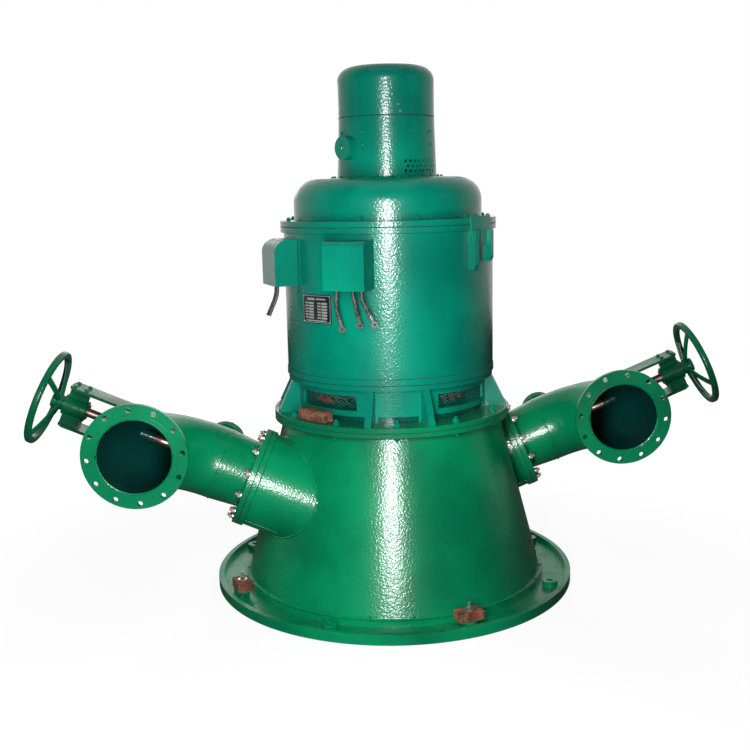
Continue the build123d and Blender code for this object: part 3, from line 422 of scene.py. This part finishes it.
def bead(mesh_data, points, radius, sides=8, closed=True):
    """Round bead, such as a weld, along a line of points."""
    count = len(points)
    rings = []
    for index, point in enumerate(points):
        before = points[index - 1] if closed or index else point
        after = points[(index + 1) % count] if closed or index < count - 1 else point
        heading = (after - before).normalized()
        turn = heading.to_track_quat("Z", "Y").to_matrix()
        angles = [corner * math.tau / sides for corner in range(sides)]
        rings.append([mesh_data.verts.new(point + turn @ Vector((
            radius * math.cos(angle), radius * math.sin(angle), 0))) for angle in angles])
    for index in range(count if closed else count - 1):
        near, far = rings[index], rings[(index + 1) % count]
        shift = 0
        if index == count - 1:
            shift = min(range(sides), key=lambda k: (near[0].co - far[k].co).length)
        for corner in range(sides):
            a, b = corner, (corner + 1) % sides
            mesh_data.faces.new((near[a], near[b], far[(b + shift) % sides], far[(a + shift) % sides]))
    if not closed:
        mesh_data.faces.new(rings[0])
        mesh_data.faces.new(rings[-1])


def hoop(radius, height, count=160):
    """Level circle of points about the machine's axis."""
    return [polar(radius, index * 360 / count, height) for index in range(count)]


screws = bmesh.new()
for number in range(FOOT_SCREW_COUNT):
    azimuth = FOOT_SCREW_AZ + number * 360 / FOOT_SCREW_COUNT
    screw(screws, polar(FOOT_SCREW_R, azimuth, FOOT_RING_TOP_Z), UP, 0.010, 0.007)
finish_mesh("base_screws", screws, casing_enamel)
weld = bmesh.new()
bead(weld, hoop(CONE_FOOT_R - 0.0005, FOOT_RING_TOP_Z), 0.0035)
finish_mesh("cone_foot_weld", weld, casing_enamel)

# Timber blocks: rough-sawn softwood offcuts soaked with oil and red primer. Two stand over anchor
# bosses and are clamped by a stud with a washer and nut; one lies loose on the casing flange.
BLOCK_LOW_Z = 0.046
BLOCK_TOP_Z = 0.090
BLOCK_AZIMUTHS = {"left": -66, "right": 22.5}
ANCHOR_CIRCLE_R = 0.762
timber, wire = fresh("packing_timber")
place = wire.node("TexCoord", {}, {}, 3)
along_grain = wire.node("Mapping", {}, {"Vector": place, "Scale": (9.0, 42.0, 95.0)})
grain = flecks(wire, along_grain, 3.0, 6.0, 0.65)
soaked = step(wire, flecks(wire, place, 16.0, 4.0), 0.40, 0.62)
primer = step(wire, flecks(wire, place, 24.0, 3.0), 0.58, 0.66)
wood = blend(wire, step(wire, grain, 0.30, 0.70), srgb(82, 48, 34), srgb(190, 136, 102))
wood = blend(wire, soaked * 0.75, wood, srgb(48, 24, 20))
wood = blend(wire, primer * 0.50, wood, srgb(176, 50, 38))
finish_with(wire, wire.node("BsdfPrincipled", {}, {
    "Base Color": wood, "Roughness": 0.85 - soaked * 0.25, "Specular IOR Level": 0.25,
    "Normal": wire.node("Bump", {}, {"Strength": 0.8, "Distance": 0.004,
                                     "Height": grain + flecks(wire, place, 130.0) * 0.5})}))


def offcut(name, azimuth, radius, low, run, deep, high):
    """Sawn block whose edges are chipped inwards, square to a radius of the machine."""
    block = bmesh.new()
    turn = Matrix.Rotation(math.radians(azimuth), 4, "Z")
    bmesh.ops.create_cube(block, size=1.0)
    bmesh.ops.subdivide_edges(block, edges=block.edges[:], cuts=11, use_grid_fill=True)
    for vert in block.verts:
        chip = 0.5 + 0.5 * noise.noise(vert.co * 5.0 + Vector((azimuth, 0, 0)))
        fine = 0.5 + 0.5 * noise.noise(vert.co * 17.0)
        at_edge = sum(abs(part) > 0.49 for part in vert.co) - 1
        sunk = 1.0 - 0.045 * fine - (0.20 * chip if at_edge else 0)
        spot = Vector((vert.co.x * run * sunk, vert.co.y * deep * sunk, (vert.co.z * sunk + 0.5) * high))
        vert.co = turn @ (spot + Vector((0, -radius, low)))
    return finish_mesh(name, block, timber)


flange_block = offcut("flange_offcut", azimuth=-44, radius=0.488, low=0.830,
                      run=0.172, deep=0.056, high=0.048)
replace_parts(flange_block, "packing_block")
for side, azimuth in BLOCK_AZIMUTHS.items():
    base_block = offcut("base_offcut_" + side, azimuth, ANCHOR_CIRCLE_R, BLOCK_LOW_Z,
                        run=0.120, deep=0.070, high=0.044)
    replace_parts(base_block, "base_blocks")

bare_steel, wire = fresh("bare_steel")
place = wire.node("TexCoord", {}, {}, 3)
rusting = step(wire, flecks(wire, place, 70.0, 4.0), 0.46, 0.66)
finish_with(wire, wire.node("BsdfPrincipled", {}, {
    "Base Color": blend(wire, rusting, srgb(205, 196, 192), srgb(128, 84, 66)),
    "Metallic": 1.0 - rusting * 0.6, "Roughness": 0.28 + rusting * 0.35,
    "Normal": wire.node("Bump", {}, {"Strength": 0.25, "Distance": 0.0006, "Height": rusting})}))
studs = bmesh.new()
for azimuth in BLOCK_AZIMUTHS.values():
    foot = polar(ANCHOR_CIRCLE_R, azimuth, BLOCK_TOP_Z)
    disc(studs, foot, UP, 0.022, 0.004, 24)
    screw(studs, foot + UP * 0.004, UP, 0.019, 0.012, stud=0.020)
finish_mesh("block_studs", studs, bare_steel)

# Casing and foot flanges: twelve painted bolts hold the pair, with nuts under the casing flange. A
# thin near-black ring lies in the groove between two plates, here and at the other joints: it is joint
# compound and also painted shade that darkens the groove.
FLANGE_TOP_Z = 0.830
FLANGE_UNDER_Z = 0.786
FLANGE_BOLT_COUNT = 12
FLANGE_BOLT_R = 0.512
FLANGE_NUT_R = 0.527
FLANGE_BOLT_AZ = 1.1
bolts = bmesh.new()
for number in range(FLANGE_BOLT_COUNT):
    azimuth = FLANGE_BOLT_AZ + number * 360 / FLANGE_BOLT_COUNT
    screw(bolts, polar(FLANGE_BOLT_R, azimuth, FLANGE_TOP_Z), UP, 0.024, 0.013, washer=0.016, stud=0.009)
    screw(bolts, polar(FLANGE_NUT_R, azimuth, FLANGE_UNDER_Z), -UP, 0.020, 0.010, stud=0.006)
finish_mesh("casing_flange_bolts", bolts, generator_enamel)

# Near-black joint compound that also paints the shade in each flange groove.
jointing_and_shade, wire = fresh("jointing_and_shade")
place = wire.node("TexCoord", {}, {}, 3)
smear = flecks(wire, place, 40.0)
finish_with(wire, wire.node("BsdfPrincipled", {}, {
    "Base Color": blend(wire, smear, srgb(4, 18, 16), srgb(8, 36, 30)), "Roughness": 0.75}))
JOINT_RINGS = ((0.5438, 0.8080), (0.5438, 0.7855), (0.4779, 0.9990), (0.4888, 1.6630),
               (0.2150, 2.1320), (0.4765, 1.0252))
joints = bmesh.new()
for radius, height in JOINT_RINGS:
    bead(joints, hoop(radius, height), 0.0016, 6)
finish_mesh("joint_lines", joints, jointing_and_shade)

# Nozzle branches: twelve bare nuts on each nozzle flange, weld beads at every plate joint, bolts on
# the hand-hole cover, gland and bearing. Both axes rise outwards, parallel to X.
NOZZLE_NUT_COUNT = 12
NOZZLE_NUT_TURN = 18
NUT_FACE_STATION = 0.706
NUT_CIRCLE_R = 0.196
PIPE_R = 0.1625
INLET_BACK = 0.332
MOUTH_R = 0.1602
MOUTH_FRONT = 0.3520
STUB_R = 0.214
CONE_FOOT_Z = 0.046
CONE_SLOPE = 0.192 / 0.740
WELD_RINGS = ((BEND_START, PIPE_R, 0.0028), (0.7065, 0.1510, 0.0045), (0.6555, STUB_R, 0.0035))
JOINT_LINES = ((0.6810, 0.2212, 0.0022), (0.6558, 0.2160, 0.0014))
SEAM_START = 0.50
SEAM_PITCH = 0.0155
SEAM_ANGLE = math.radians(-48)
GLAND_SCREW_STATION = 1.277
YOKE_SCREW_STATIONS = (1.505, 1.557)
WHEEL_SCREW_STATIONS = (1.602, 1.622)
NECK_SECTION = ((1.224, 0.0270), (1.156, 0.0270), (1.156, 0.0215), (1.224, 0.0215))
HAND_HOLE_STATION = 0.870
HAND_HOLE_TILT = math.radians(18)
HAND_HOLE_REACH = 0.225
COVER_BOLT_COUNT = 6
COVER_BOLT_R = 0.068


class Branch:
    """Frame of one branch: a station along its axis, a distance to the front and one upwards."""

    def __init__(self, side, name):
        self.name = name
        self.origin = Vector((0, side * BRANCH_OFFSET, BRANCH_AXIS_Z))
        self.outward = Vector((side * math.cos(TILT), 0, math.sin(TILT)))
        self.front = Vector((0, -1, 0))
        self.up = Vector((-side * math.sin(TILT), 0, math.cos(TILT)))

    def at(self, station, front=0.0, up=0.0):
        return self.origin + self.outward * station + self.front * front + self.up * up

    def circle(self, station, radius, count=72):
        """Ring of points about the branch axis."""
        angles = [index * math.tau / count for index in range(count)]
        return [self.at(station, radius * math.cos(angle), radius * math.sin(angle)) for angle in angles]

    def mouth_circle(self, radius, front, count=72):
        """Ring of points about the axis of the inlet mouth, which faces the front."""
        angles = [index * math.tau / count for index in range(count)]
        return [self.at(INLET_STATION + radius * math.cos(angle), front, radius * math.sin(angle))
                for angle in angles]

    def saddle(self, count=120):
        """Line where the stub meets the casing's cone."""
        points = []
        for index in range(count):
            angle = index * math.tau / count
            near, far = 0.20, 0.68
            for _ in range(30):
                middle = (near + far) / 2
                point = self.at(middle, STUB_R * math.cos(angle), STUB_R * math.sin(angle))
                cone_r = CONE_FOOT_R - (point.z - CONE_FOOT_Z) * CONE_SLOPE
                near, far = (near, middle) if math.hypot(point.x, point.y) > cone_r else (middle, far)
            points.append(point)
        return points


def turned_ring(mesh_data, section, centre, axis, steps):
    """Closed ring: a section of points in one plane with the axis, spun once about it."""
    corners = [mesh_data.verts.new(point) for point in section]
    outline = [mesh_data.edges.new((corners[index - 1], corners[index])) for index in range(len(corners))]
    bmesh.ops.spin(mesh_data, geom=corners + outline, cent=centre, axis=axis, angle=math.tau,
                   steps=steps, use_merge=True)


for side, name in ((-1, "left"), (1, "right")):
    branch = Branch(side, name)
    nuts = bmesh.new()
    for number in range(NOZZLE_NUT_COUNT):
        angle = math.radians(NOZZLE_NUT_TURN + number * 360 / NOZZLE_NUT_COUNT)
        place = branch.at(NUT_FACE_STATION, NUT_CIRCLE_R * math.cos(angle), NUT_CIRCLE_R * math.sin(angle))
        screw(nuts, place, branch.outward, 0.024, 0.015, washer=0.0155, stud=0.010)
    finish_mesh("nozzle_nuts_" + name, nuts, bare_steel)

    welds = bmesh.new()
    for station, radius, thickness in WELD_RINGS:
        bead(welds, branch.circle(station, radius), thickness)
    bead(welds, branch.saddle(), 0.0065)
    bead(welds, branch.mouth_circle(PIPE_R, INLET_BACK), 0.0050)
    bead(welds, branch.mouth_circle(MOUTH_R, MOUTH_FRONT), 0.0045)
    seam_r = STUB_R - 0.001
    seam = [branch.at(SEAM_START + SEAM_PITCH * index, seam_r * math.cos(SEAM_ANGLE),
                      seam_r * math.sin(SEAM_ANGLE)) for index in range(11)]
    bead(welds, seam, 0.0030, closed=False)
    finish_mesh("branch_welds_" + name, welds, casing_enamel)

    # Near-black rings in the flange grooves: joint compound, and painted shade in the groove.
    lines = bmesh.new()
    for station, radius, thickness in JOINT_LINES:
        bead(lines, branch.circle(station, radius), thickness, 6)
    finish_mesh("branch_joint_" + name, lines, jointing_and_shade)

    fixings = bmesh.new()
    back = -branch.front * math.cos(HAND_HOLE_TILT) + branch.up * math.sin(HAND_HOLE_TILT)
    across = back.cross(branch.outward)
    cover = branch.at(HAND_HOLE_STATION) + back * HAND_HOLE_REACH
    for number in range(COVER_BOLT_COUNT):
        angle = math.radians(30 + number * 360 / COVER_BOLT_COUNT)
        place = cover + (branch.outward * math.cos(angle) + across * math.sin(angle)) * COVER_BOLT_R
        screw(fixings, place, back, 0.017, 0.010, stud=0.005)
    for front in (-1, 1):
        gland_stud = branch.at(GLAND_SCREW_STATION, front * 0.0445)
        screw(fixings, gland_stud, branch.outward, 0.013, 0.008, stud=0.016)
        for station in YOKE_SCREW_STATIONS:
            screw(fixings, branch.at(station, front * 0.030, 0.098), branch.up, 0.016, 0.009)
            screw(fixings, branch.at(station, front * 0.024, -0.089), -branch.up, 0.016, 0.009)
    finish_mesh("branch_bolts_" + name, fixings, casing_enamel)

    # The neck lies inside the bend, so the bores' painted shade makes it dark too.
    sleeve = bmesh.new()
    section = [branch.at(station, radius) for station, radius in NECK_SECTION]
    turned_ring(sleeve, section, branch.origin, branch.outward, 28)
    finish_mesh("gland_neck_" + name, sleeve, casing_enamel)

    hub_screw = bmesh.new()
    disc(hub_screw, branch.at(WHEEL_SCREW_STATIONS[0], 0, 0.031), branch.up, 0.006, 0.009, 8)
    disc(hub_screw, branch.at(WHEEL_SCREW_STATIONS[1], 0.031, 0), branch.front, 0.006, 0.009, 8)
    finish_mesh("hub_screw_" + name, hub_screw, casing_enamel, "handwheel_" + name)

# Needle spindles: turned steel rods that the handwheels drive in and out through the glands. They
# have an oily brown bloom over bright patches, and fine lines left by the lathe.
spindle_steel, wire = fresh("spindle_steel")
place = wire.node("TexCoord", {}, {}, 3)
bloom = step(wire, flecks(wire, place, 26.0, 5.0), 0.36, 0.64)
turned_lines = wire.node("Mapping", {}, {"Vector": place, "Scale": (600.0, 4.0, 4.0)})
finish_with(wire, wire.node("BsdfPrincipled", {}, {
    "Base Color": blend(wire, bloom, srgb(150, 128, 122), srgb(72, 44, 38)),
    "Metallic": 0.9 - bloom * 0.35, "Roughness": 0.30 + bloom * 0.18,
    "Normal": wire.node("Bump", {}, {"Strength": 0.12, "Distance": 0.0004,
                                     "Height": flecks(wire, turned_lines, 1.0)})}))
coat(spindle_steel, "spindle_left", "spindle_right")

# Spigot of the foot flange: a low turned ring on the flange that centres the bracket and shows
# through the bracket's slots. It lies in the shade, and its enamel is a darker copy of the generator's,
# which is painted shade.
SPIGOT_SECTION = ((0.4285, 0.8305), (0.4285, 0.8600), (0.4225, 0.8600), (0.4225, 0.8305))
spigot = bmesh.new()
section = [polar(radius, 0, height) for radius, height in SPIGOT_SECTION]
turned_ring(spigot, section, (0, 0, 0), UP, 120)
# Painted shade: the generator's green made darker for the ring behind the slots.
spigot_painted_shade = enamel("spigot_painted_shade", srgb(2, 92, 78), srgb(2, 66, 58), 0.2)
finish_mesh("foot_spigot", spigot, spigot_painted_shade)

# Window screens: painted expanded metal, slit and drawn so that its diamonds are wider than they
# are high, then rolled and fixed behind each window of the bracket.
SCREEN_R = 0.4285
SCREEN_LOW_Z = 0.8735
SCREEN_HIGH_Z = 0.9505
SCREEN_HALF = 22.6
SCREEN_CELL = 0.0190
SCREEN_SQUASH = 0.60
WIRE_WIDTH = 0.0048
WINDOW_AZIMUTHS = (47.5, 137.5, 227.5, 317.5)
mesh_paint = enamel("mesh_paint", srgb(4, 128, 108), srgb(2, 92, 80), 0.2)
screen = bmesh.new()
half_run = math.radians(SCREEN_HALF) * SCREEN_R
half_rise = (SCREEN_HIGH_Z - SCREEN_LOW_Z) / 2
reach = half_run + half_rise / SCREEN_SQUASH
squash = Matrix.Scale(SCREEN_SQUASH, 4, (0, 1, 0)) @ Matrix.Rotation(math.radians(45), 4, "Z")
bmesh.ops.create_grid(screen, x_segments=round(2 * reach / SCREEN_CELL),
                      y_segments=round(2 * reach / SCREEN_CELL), size=reach, matrix=squash)
for normal, limit in (((1, 0, 0), half_run), ((-1, 0, 0), half_run),
                      ((0, 1, 0), half_rise), ((0, -1, 0), half_rise)):
    everything = screen.verts[:] + screen.edges[:] + screen.faces[:]
    bmesh.ops.bisect_plane(screen, geom=everything, plane_co=Vector(normal) * limit, plane_no=normal,
                           clear_outer=True)
screen.verts.index_update()
flat = [(vert.co.x / SCREEN_R, vert.co.y + (SCREEN_HIGH_Z + SCREEN_LOW_Z) / 2) for vert in screen.verts]
faces = [[vert.index for vert in face.verts] for face in screen.faces]
screen.free()
screens = bmesh.new()
for window in WINDOW_AZIMUTHS:
    made = [screens.verts.new(polar(SCREEN_R, window + math.degrees(turn), height)) for turn, height in flat]
    for face in faces:
        screens.faces.new([made[index] for index in face])
screen_object = finish_mesh("screen_wires", screens, mesh_paint)
wires = screen_object.modifiers.new("wires", "WIREFRAME")
wires.thickness = WIRE_WIDTH
wires.use_even_offset = False
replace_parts(screen_object, "window_screens")

# End winding: forty-eight varnished copper coil heads that lean the same way, laced together with a
# glass cord. Only their tips show through the screens. The stator core above keeps its CAD shape.
COIL_COUNT = 48
COIL_TOP_Z = 1.024
COIL_LOW_Z = 0.886
COIL_THICKNESS = 0.023
COIL_LOOP = ((0.386, -5, COIL_TOP_Z), (0.388, -4, 0.950), (0.386, -2, 0.905), (0.372, 1, 0.890),
             (0.345, 3, COIL_LOW_Z), (0.322, 5, 0.905), (0.314, 7, 0.950), (0.314, 8, COIL_TOP_Z))
RED_PATCH_AZIMUTHS = (-50, 42, 131, 222)
LACING_R = 0.3975
LACING_HEIGHTS = (0.925, 0.968)
varnish, wire = fresh("winding_varnish")
place = wire.node("TexCoord", {}, {}, 3)
pooled = step(wire, flecks(wire, place, 34.0, 4.0), 0.36, 0.66)
# Painted shade: most of each coil is mixed to a dark teal that is partly overspray and partly the shade
# behind the screens; the red varnish shows only near four patches.
overspray_and_shade = 1.0
for azimuth in RED_PATCH_AZIMUTHS:
    patch = polar(0.385, azimuth, 0.942)
    patch_distance = wire.node("VectorMath", {"operation": "DISTANCE"}, {0: place, 1: patch}, 1)
    overspray_and_shade = step(wire, patch_distance + flecks(wire, place, 40.0) * 0.05, 0.080, 0.100) * overspray_and_shade
varnished = blend(wire, pooled, srgb(196, 34, 26), srgb(112, 18, 18))
# Mixes in the dark teal of overspray and painted shade.
finish_with(wire, wire.node("BsdfPrincipled", {}, {
    "Base Color": blend(wire, overspray_and_shade * 0.92, varnished, srgb(4, 62, 54)), "Roughness": 0.62,
    "Specular IOR Level": 0.2,
    "Normal": wire.node("Bump", {}, {"Strength": 0.5, "Distance": 0.002,
                                     "Height": flecks(wire, place, 60.0)})}))
coils = bmesh.new()
for number in range(COIL_COUNT):
    azimuth = number * 360 / COIL_COUNT
    loop = [polar(radius, azimuth + lean, height) for radius, lean, height in COIL_LOOP]
    bead(coils, loop, COIL_THICKNESS / 2, 8, closed=False)
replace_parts(finish_mesh("coil_heads", coils, varnish), "winding_heads")
lacing_cord, wire = fresh("lacing_cord")
place = wire.node("TexCoord", {}, {}, 3)
finish_with(wire, wire.node("BsdfPrincipled", {}, {
    "Base Color": blend(wire, flecks(wire, place, 80.0), srgb(176, 150, 132), srgb(108, 62, 52)),
    "Roughness": 0.8}))
lacing = bmesh.new()
for height in LACING_HEIGHTS:
    wound = [polar(LACING_R + 0.0015 * math.sin(index * 1.57), index * 1.5,
                   height + 0.004 * math.sin(index * 0.8)) for index in range(240)]
    bead(lacing, wound, 0.0028, 6)
finish_mesh("winding_lacing", lacing, lacing_cord)
core_steel, wire = fresh("core_steel")
place = wire.node("TexCoord", {}, {}, 3)
sheets = wire.node("Mapping", {}, {"Vector": place, "Scale": (2.0, 2.0, 900.0)})
finish_with(wire, wire.node("BsdfPrincipled", {}, {
    "Base Color": blend(wire, flecks(wire, sheets, 1.0), srgb(70, 66, 64), srgb(40, 36, 36)),
    "Metallic": 0.6, "Roughness": 0.55}))
coat(core_steel, "stator_core")

# Top flanges and end shield: twelve painted bolts hold the shield's flange to the stator's, a ring of
# twenty-four small ones holds the exciter's foot, and a thin weld runs round that foot.
SHIELD_FLANGE_TOP_Z = 1.689
SHIELD_BOLT_R = 0.458
SHIELD_BOLT_COUNT = 12
SHIELD_BOLT_AZ = -16
SHIELD_TOP_Z = 1.869
EXCITER_BOLT_R = 0.247
EXCITER_BOLT_COUNT = 24
EXCITER_BOLT_AZ = 4
EXCITER_BEAD_R = 0.2255
bolts = bmesh.new()
for number in range(SHIELD_BOLT_COUNT):
    azimuth = SHIELD_BOLT_AZ + number * 360 / SHIELD_BOLT_COUNT
    screw(bolts, polar(SHIELD_BOLT_R, azimuth, SHIELD_FLANGE_TOP_Z), UP, 0.019, 0.011, stud=0.004)
for number in range(EXCITER_BOLT_COUNT):
    azimuth = EXCITER_BOLT_AZ + number * 360 / EXCITER_BOLT_COUNT
    screw(bolts, polar(EXCITER_BOLT_R, azimuth, SHIELD_TOP_Z), UP, 0.013, 0.008, stud=0.003)
finish_mesh("shield_bolts", bolts, generator_enamel)
foot = bmesh.new()
bead(foot, hoop(EXCITER_BEAD_R, SHIELD_TOP_Z + 0.001), 0.0035)
finish_mesh("exciter_foot_weld", foot, generator_enamel)

# Exciter housing: the sheet cover laps at two places and is held there by pairs of round-head screws;
# two rivets sit on the cap, and a screwed plug closes the bore of the side boss.
EXCITER_LAP_AZIMUTHS = (-65.9, -30.7, 29.1, 60.2)
EXCITER_FOOT_R = 0.224
EXCITER_SLOPE = 0.008 / 0.263
EXCITER_SCREW_HEIGHTS = (2.010, 2.065)
BOSS_AZ = -49
BOSS_Z = 1.999
BOSS_FACE_R = 0.2615
CAP_R = 0.2158
heads = bmesh.new()
for azimuth in EXCITER_LAP_AZIMUTHS:
    for height in EXCITER_SCREW_HEIGHTS:
        radius = EXCITER_FOOT_R - (height - SHIELD_TOP_Z) * EXCITER_SLOPE
        outwards = polar(1, azimuth, 0)
        disc(heads, polar(radius, azimuth, height), outwards, 0.0075, 0.004, 12)
        disc(heads, polar(radius + 0.004, azimuth, height), outwards, 0.0075, 0.0020, 12, 0, 0.0040)
boss_axis = polar(1, BOSS_AZ, 0)
disc(heads, polar(BOSS_FACE_R, BOSS_AZ, BOSS_Z), boss_axis, 0.0190, 0.0022, 24)
screw(heads, polar(BOSS_FACE_R + 0.0020, BOSS_AZ, BOSS_Z), boss_axis, 0.017, 0.007)
finish_mesh("exciter_screws", heads, generator_enamel)
rivets = bmesh.new()
for azimuth, height in ((12.7, 2.175), (14.9, 2.147)):
    disc(rivets, polar(CAP_R, azimuth, height), polar(1, azimuth, 0), 0.0055, 0.003, 12, 0, 0.0035)
finish_mesh("cap_rivets", rivets, bare_steel)

# Terminal boxes: folded sheet boxes with round-head screws through their side lips, and a rubber
# grommet where each lead leaves the floor.
BOX_LIP_R = 0.4793
BOX_BACK_R = 0.476
BOX_LIPS = ((-19.5, 0.099), (-69.5, 0.1115))
BOX_SCREW_HEIGHTS = (1.445, 1.575)
LEAD_GROMMET_R = 0.013
CONTROL_GROMMET_R = 0.0085
screws = bmesh.new()
for box_azimuth, half_width in BOX_LIPS:
    lip_turn = math.degrees(half_width / BOX_BACK_R)
    for lip_side in (-1, 1):
        for height in BOX_SCREW_HEIGHTS:
            azimuth = box_azimuth + lip_side * lip_turn
            outwards = polar(1, azimuth, 0)
            disc(screws, polar(BOX_LIP_R, azimuth, height), outwards, 0.006, 0.0045, 12, 0, 0.0042)
finish_mesh("box_screws", screws, generator_enamel)
grommets = bmesh.new()
exits = [(Vector(route[0]), LEAD_GROMMET_R) for route in LEAD_ROUTES.values()]
for number in range(3):
    control_exit = Vector(CONTROL_ROUTE[0]) + (number - 1) * CONTROL_PITCH * CONTROL_SIDE
    exits.append((control_exit, CONTROL_GROMMET_R))
for exit_place, radius in exits:
    disc(grommets, exit_place, -UP, radius, 0.005, 20)
finish_mesh("grommets", grommets, lead_rubber)

# Nameplate: black etched sheet rolled to the stator, with a bare border and generic raised bars for a
# heading, two columns and a foot line, held by four rivets. It carries no lettering.
PLATE_AZ = -42.6
PLATE_R = 0.4793
PLATE_MID_Z = 1.319
PLATE_HALF_RUN = 0.085
PLATE_HALF_RISE = 0.062
plate_black, wire = fresh("plate_black")
place = wire.node("TexCoord", {}, {}, 3)
scuffed = step(wire, flecks(wire, place, 60.0, 4.0), 0.50, 0.75)
finish_with(wire, wire.node("BsdfPrincipled", {}, {
    "Base Color": blend(wire, scuffed, srgb(22, 26, 30), srgb(58, 66, 68)),
    "Roughness": 0.35 + scuffed * 0.2}))
coat(plate_black, "nameplate")
plate_bare, wire = fresh("plate_bare")
place = wire.node("TexCoord", {}, {}, 3)
dulled = flecks(wire, place, 120.0)
finish_with(wire, wire.node("BsdfPrincipled", {}, {
    "Base Color": blend(wire, dulled, srgb(206, 210, 206), srgb(150, 158, 152)), "Metallic": 0.3,
    "Roughness": 0.45}))
bars = bmesh.new()


def bar(left, right, low, high, rise=0.0004):
    """Raised bar on the rolled plate between two runs and two heights, from the plate's middle."""
    steps = max(2, round((right - left) / 0.012))
    corners = []
    for index in range(steps + 1):
        azimuth = PLATE_AZ + math.degrees((left + (right - left) * index / steps) / PLATE_R)
        corners.append([bars.verts.new(polar(PLATE_R + depth, azimuth, PLATE_MID_Z + height))
                        for depth, height in ((-0.0003, low), (rise, low), (rise, high), (-0.0003, high))])
    for first, second in zip(corners, corners[1:]):
        for corner in range(4):
            after = (corner + 1) % 4
            bars.faces.new((first[corner], first[after], second[after], second[corner]))
    bars.faces.new(corners[0])
    bars.faces.new(corners[-1])


edge, line = 0.004, 0.0022
for low in (-PLATE_HALF_RISE + edge, PLATE_HALF_RISE - edge - line):
    bar(-PLATE_HALF_RUN + edge, PLATE_HALF_RUN - edge, low, low + line)
for left in (-PLATE_HALF_RUN + edge, PLATE_HALF_RUN - edge - line):
    bar(left, left + line, -PLATE_HALF_RISE + edge + line, PLATE_HALF_RISE - edge - line)
bar(-0.052, -0.006, 0.038, 0.047)
bar(0.004, 0.056, 0.040, 0.046)
for row in range(6):
    low = 0.022 - row * 0.0125
    bar(-0.066, -0.046, low, low + 0.006)
    bar(-0.042, -0.012, low - 0.0012, low + 0.007)
    bar(0.010, 0.030, low, low + 0.006)
    bar(0.034, 0.064, low - 0.0012, low + 0.007)
bar(-0.060, 0.060, -0.0525, -0.0475)
finish_mesh("plate_bars", bars, plate_bare)
rivets = bmesh.new()
for run in (-0.078, 0.078):
    for rise in (-0.055, 0.055):
        azimuth = PLATE_AZ + math.degrees(run / PLATE_R)
        disc(rivets, polar(PLATE_R - 0.0005, azimuth, PLATE_MID_Z + rise), polar(1, azimuth, 0),
             0.0035, 0.0024, 10, 0, 0.0020)
finish_mesh("plate_rivets", rivets, plate_bare)
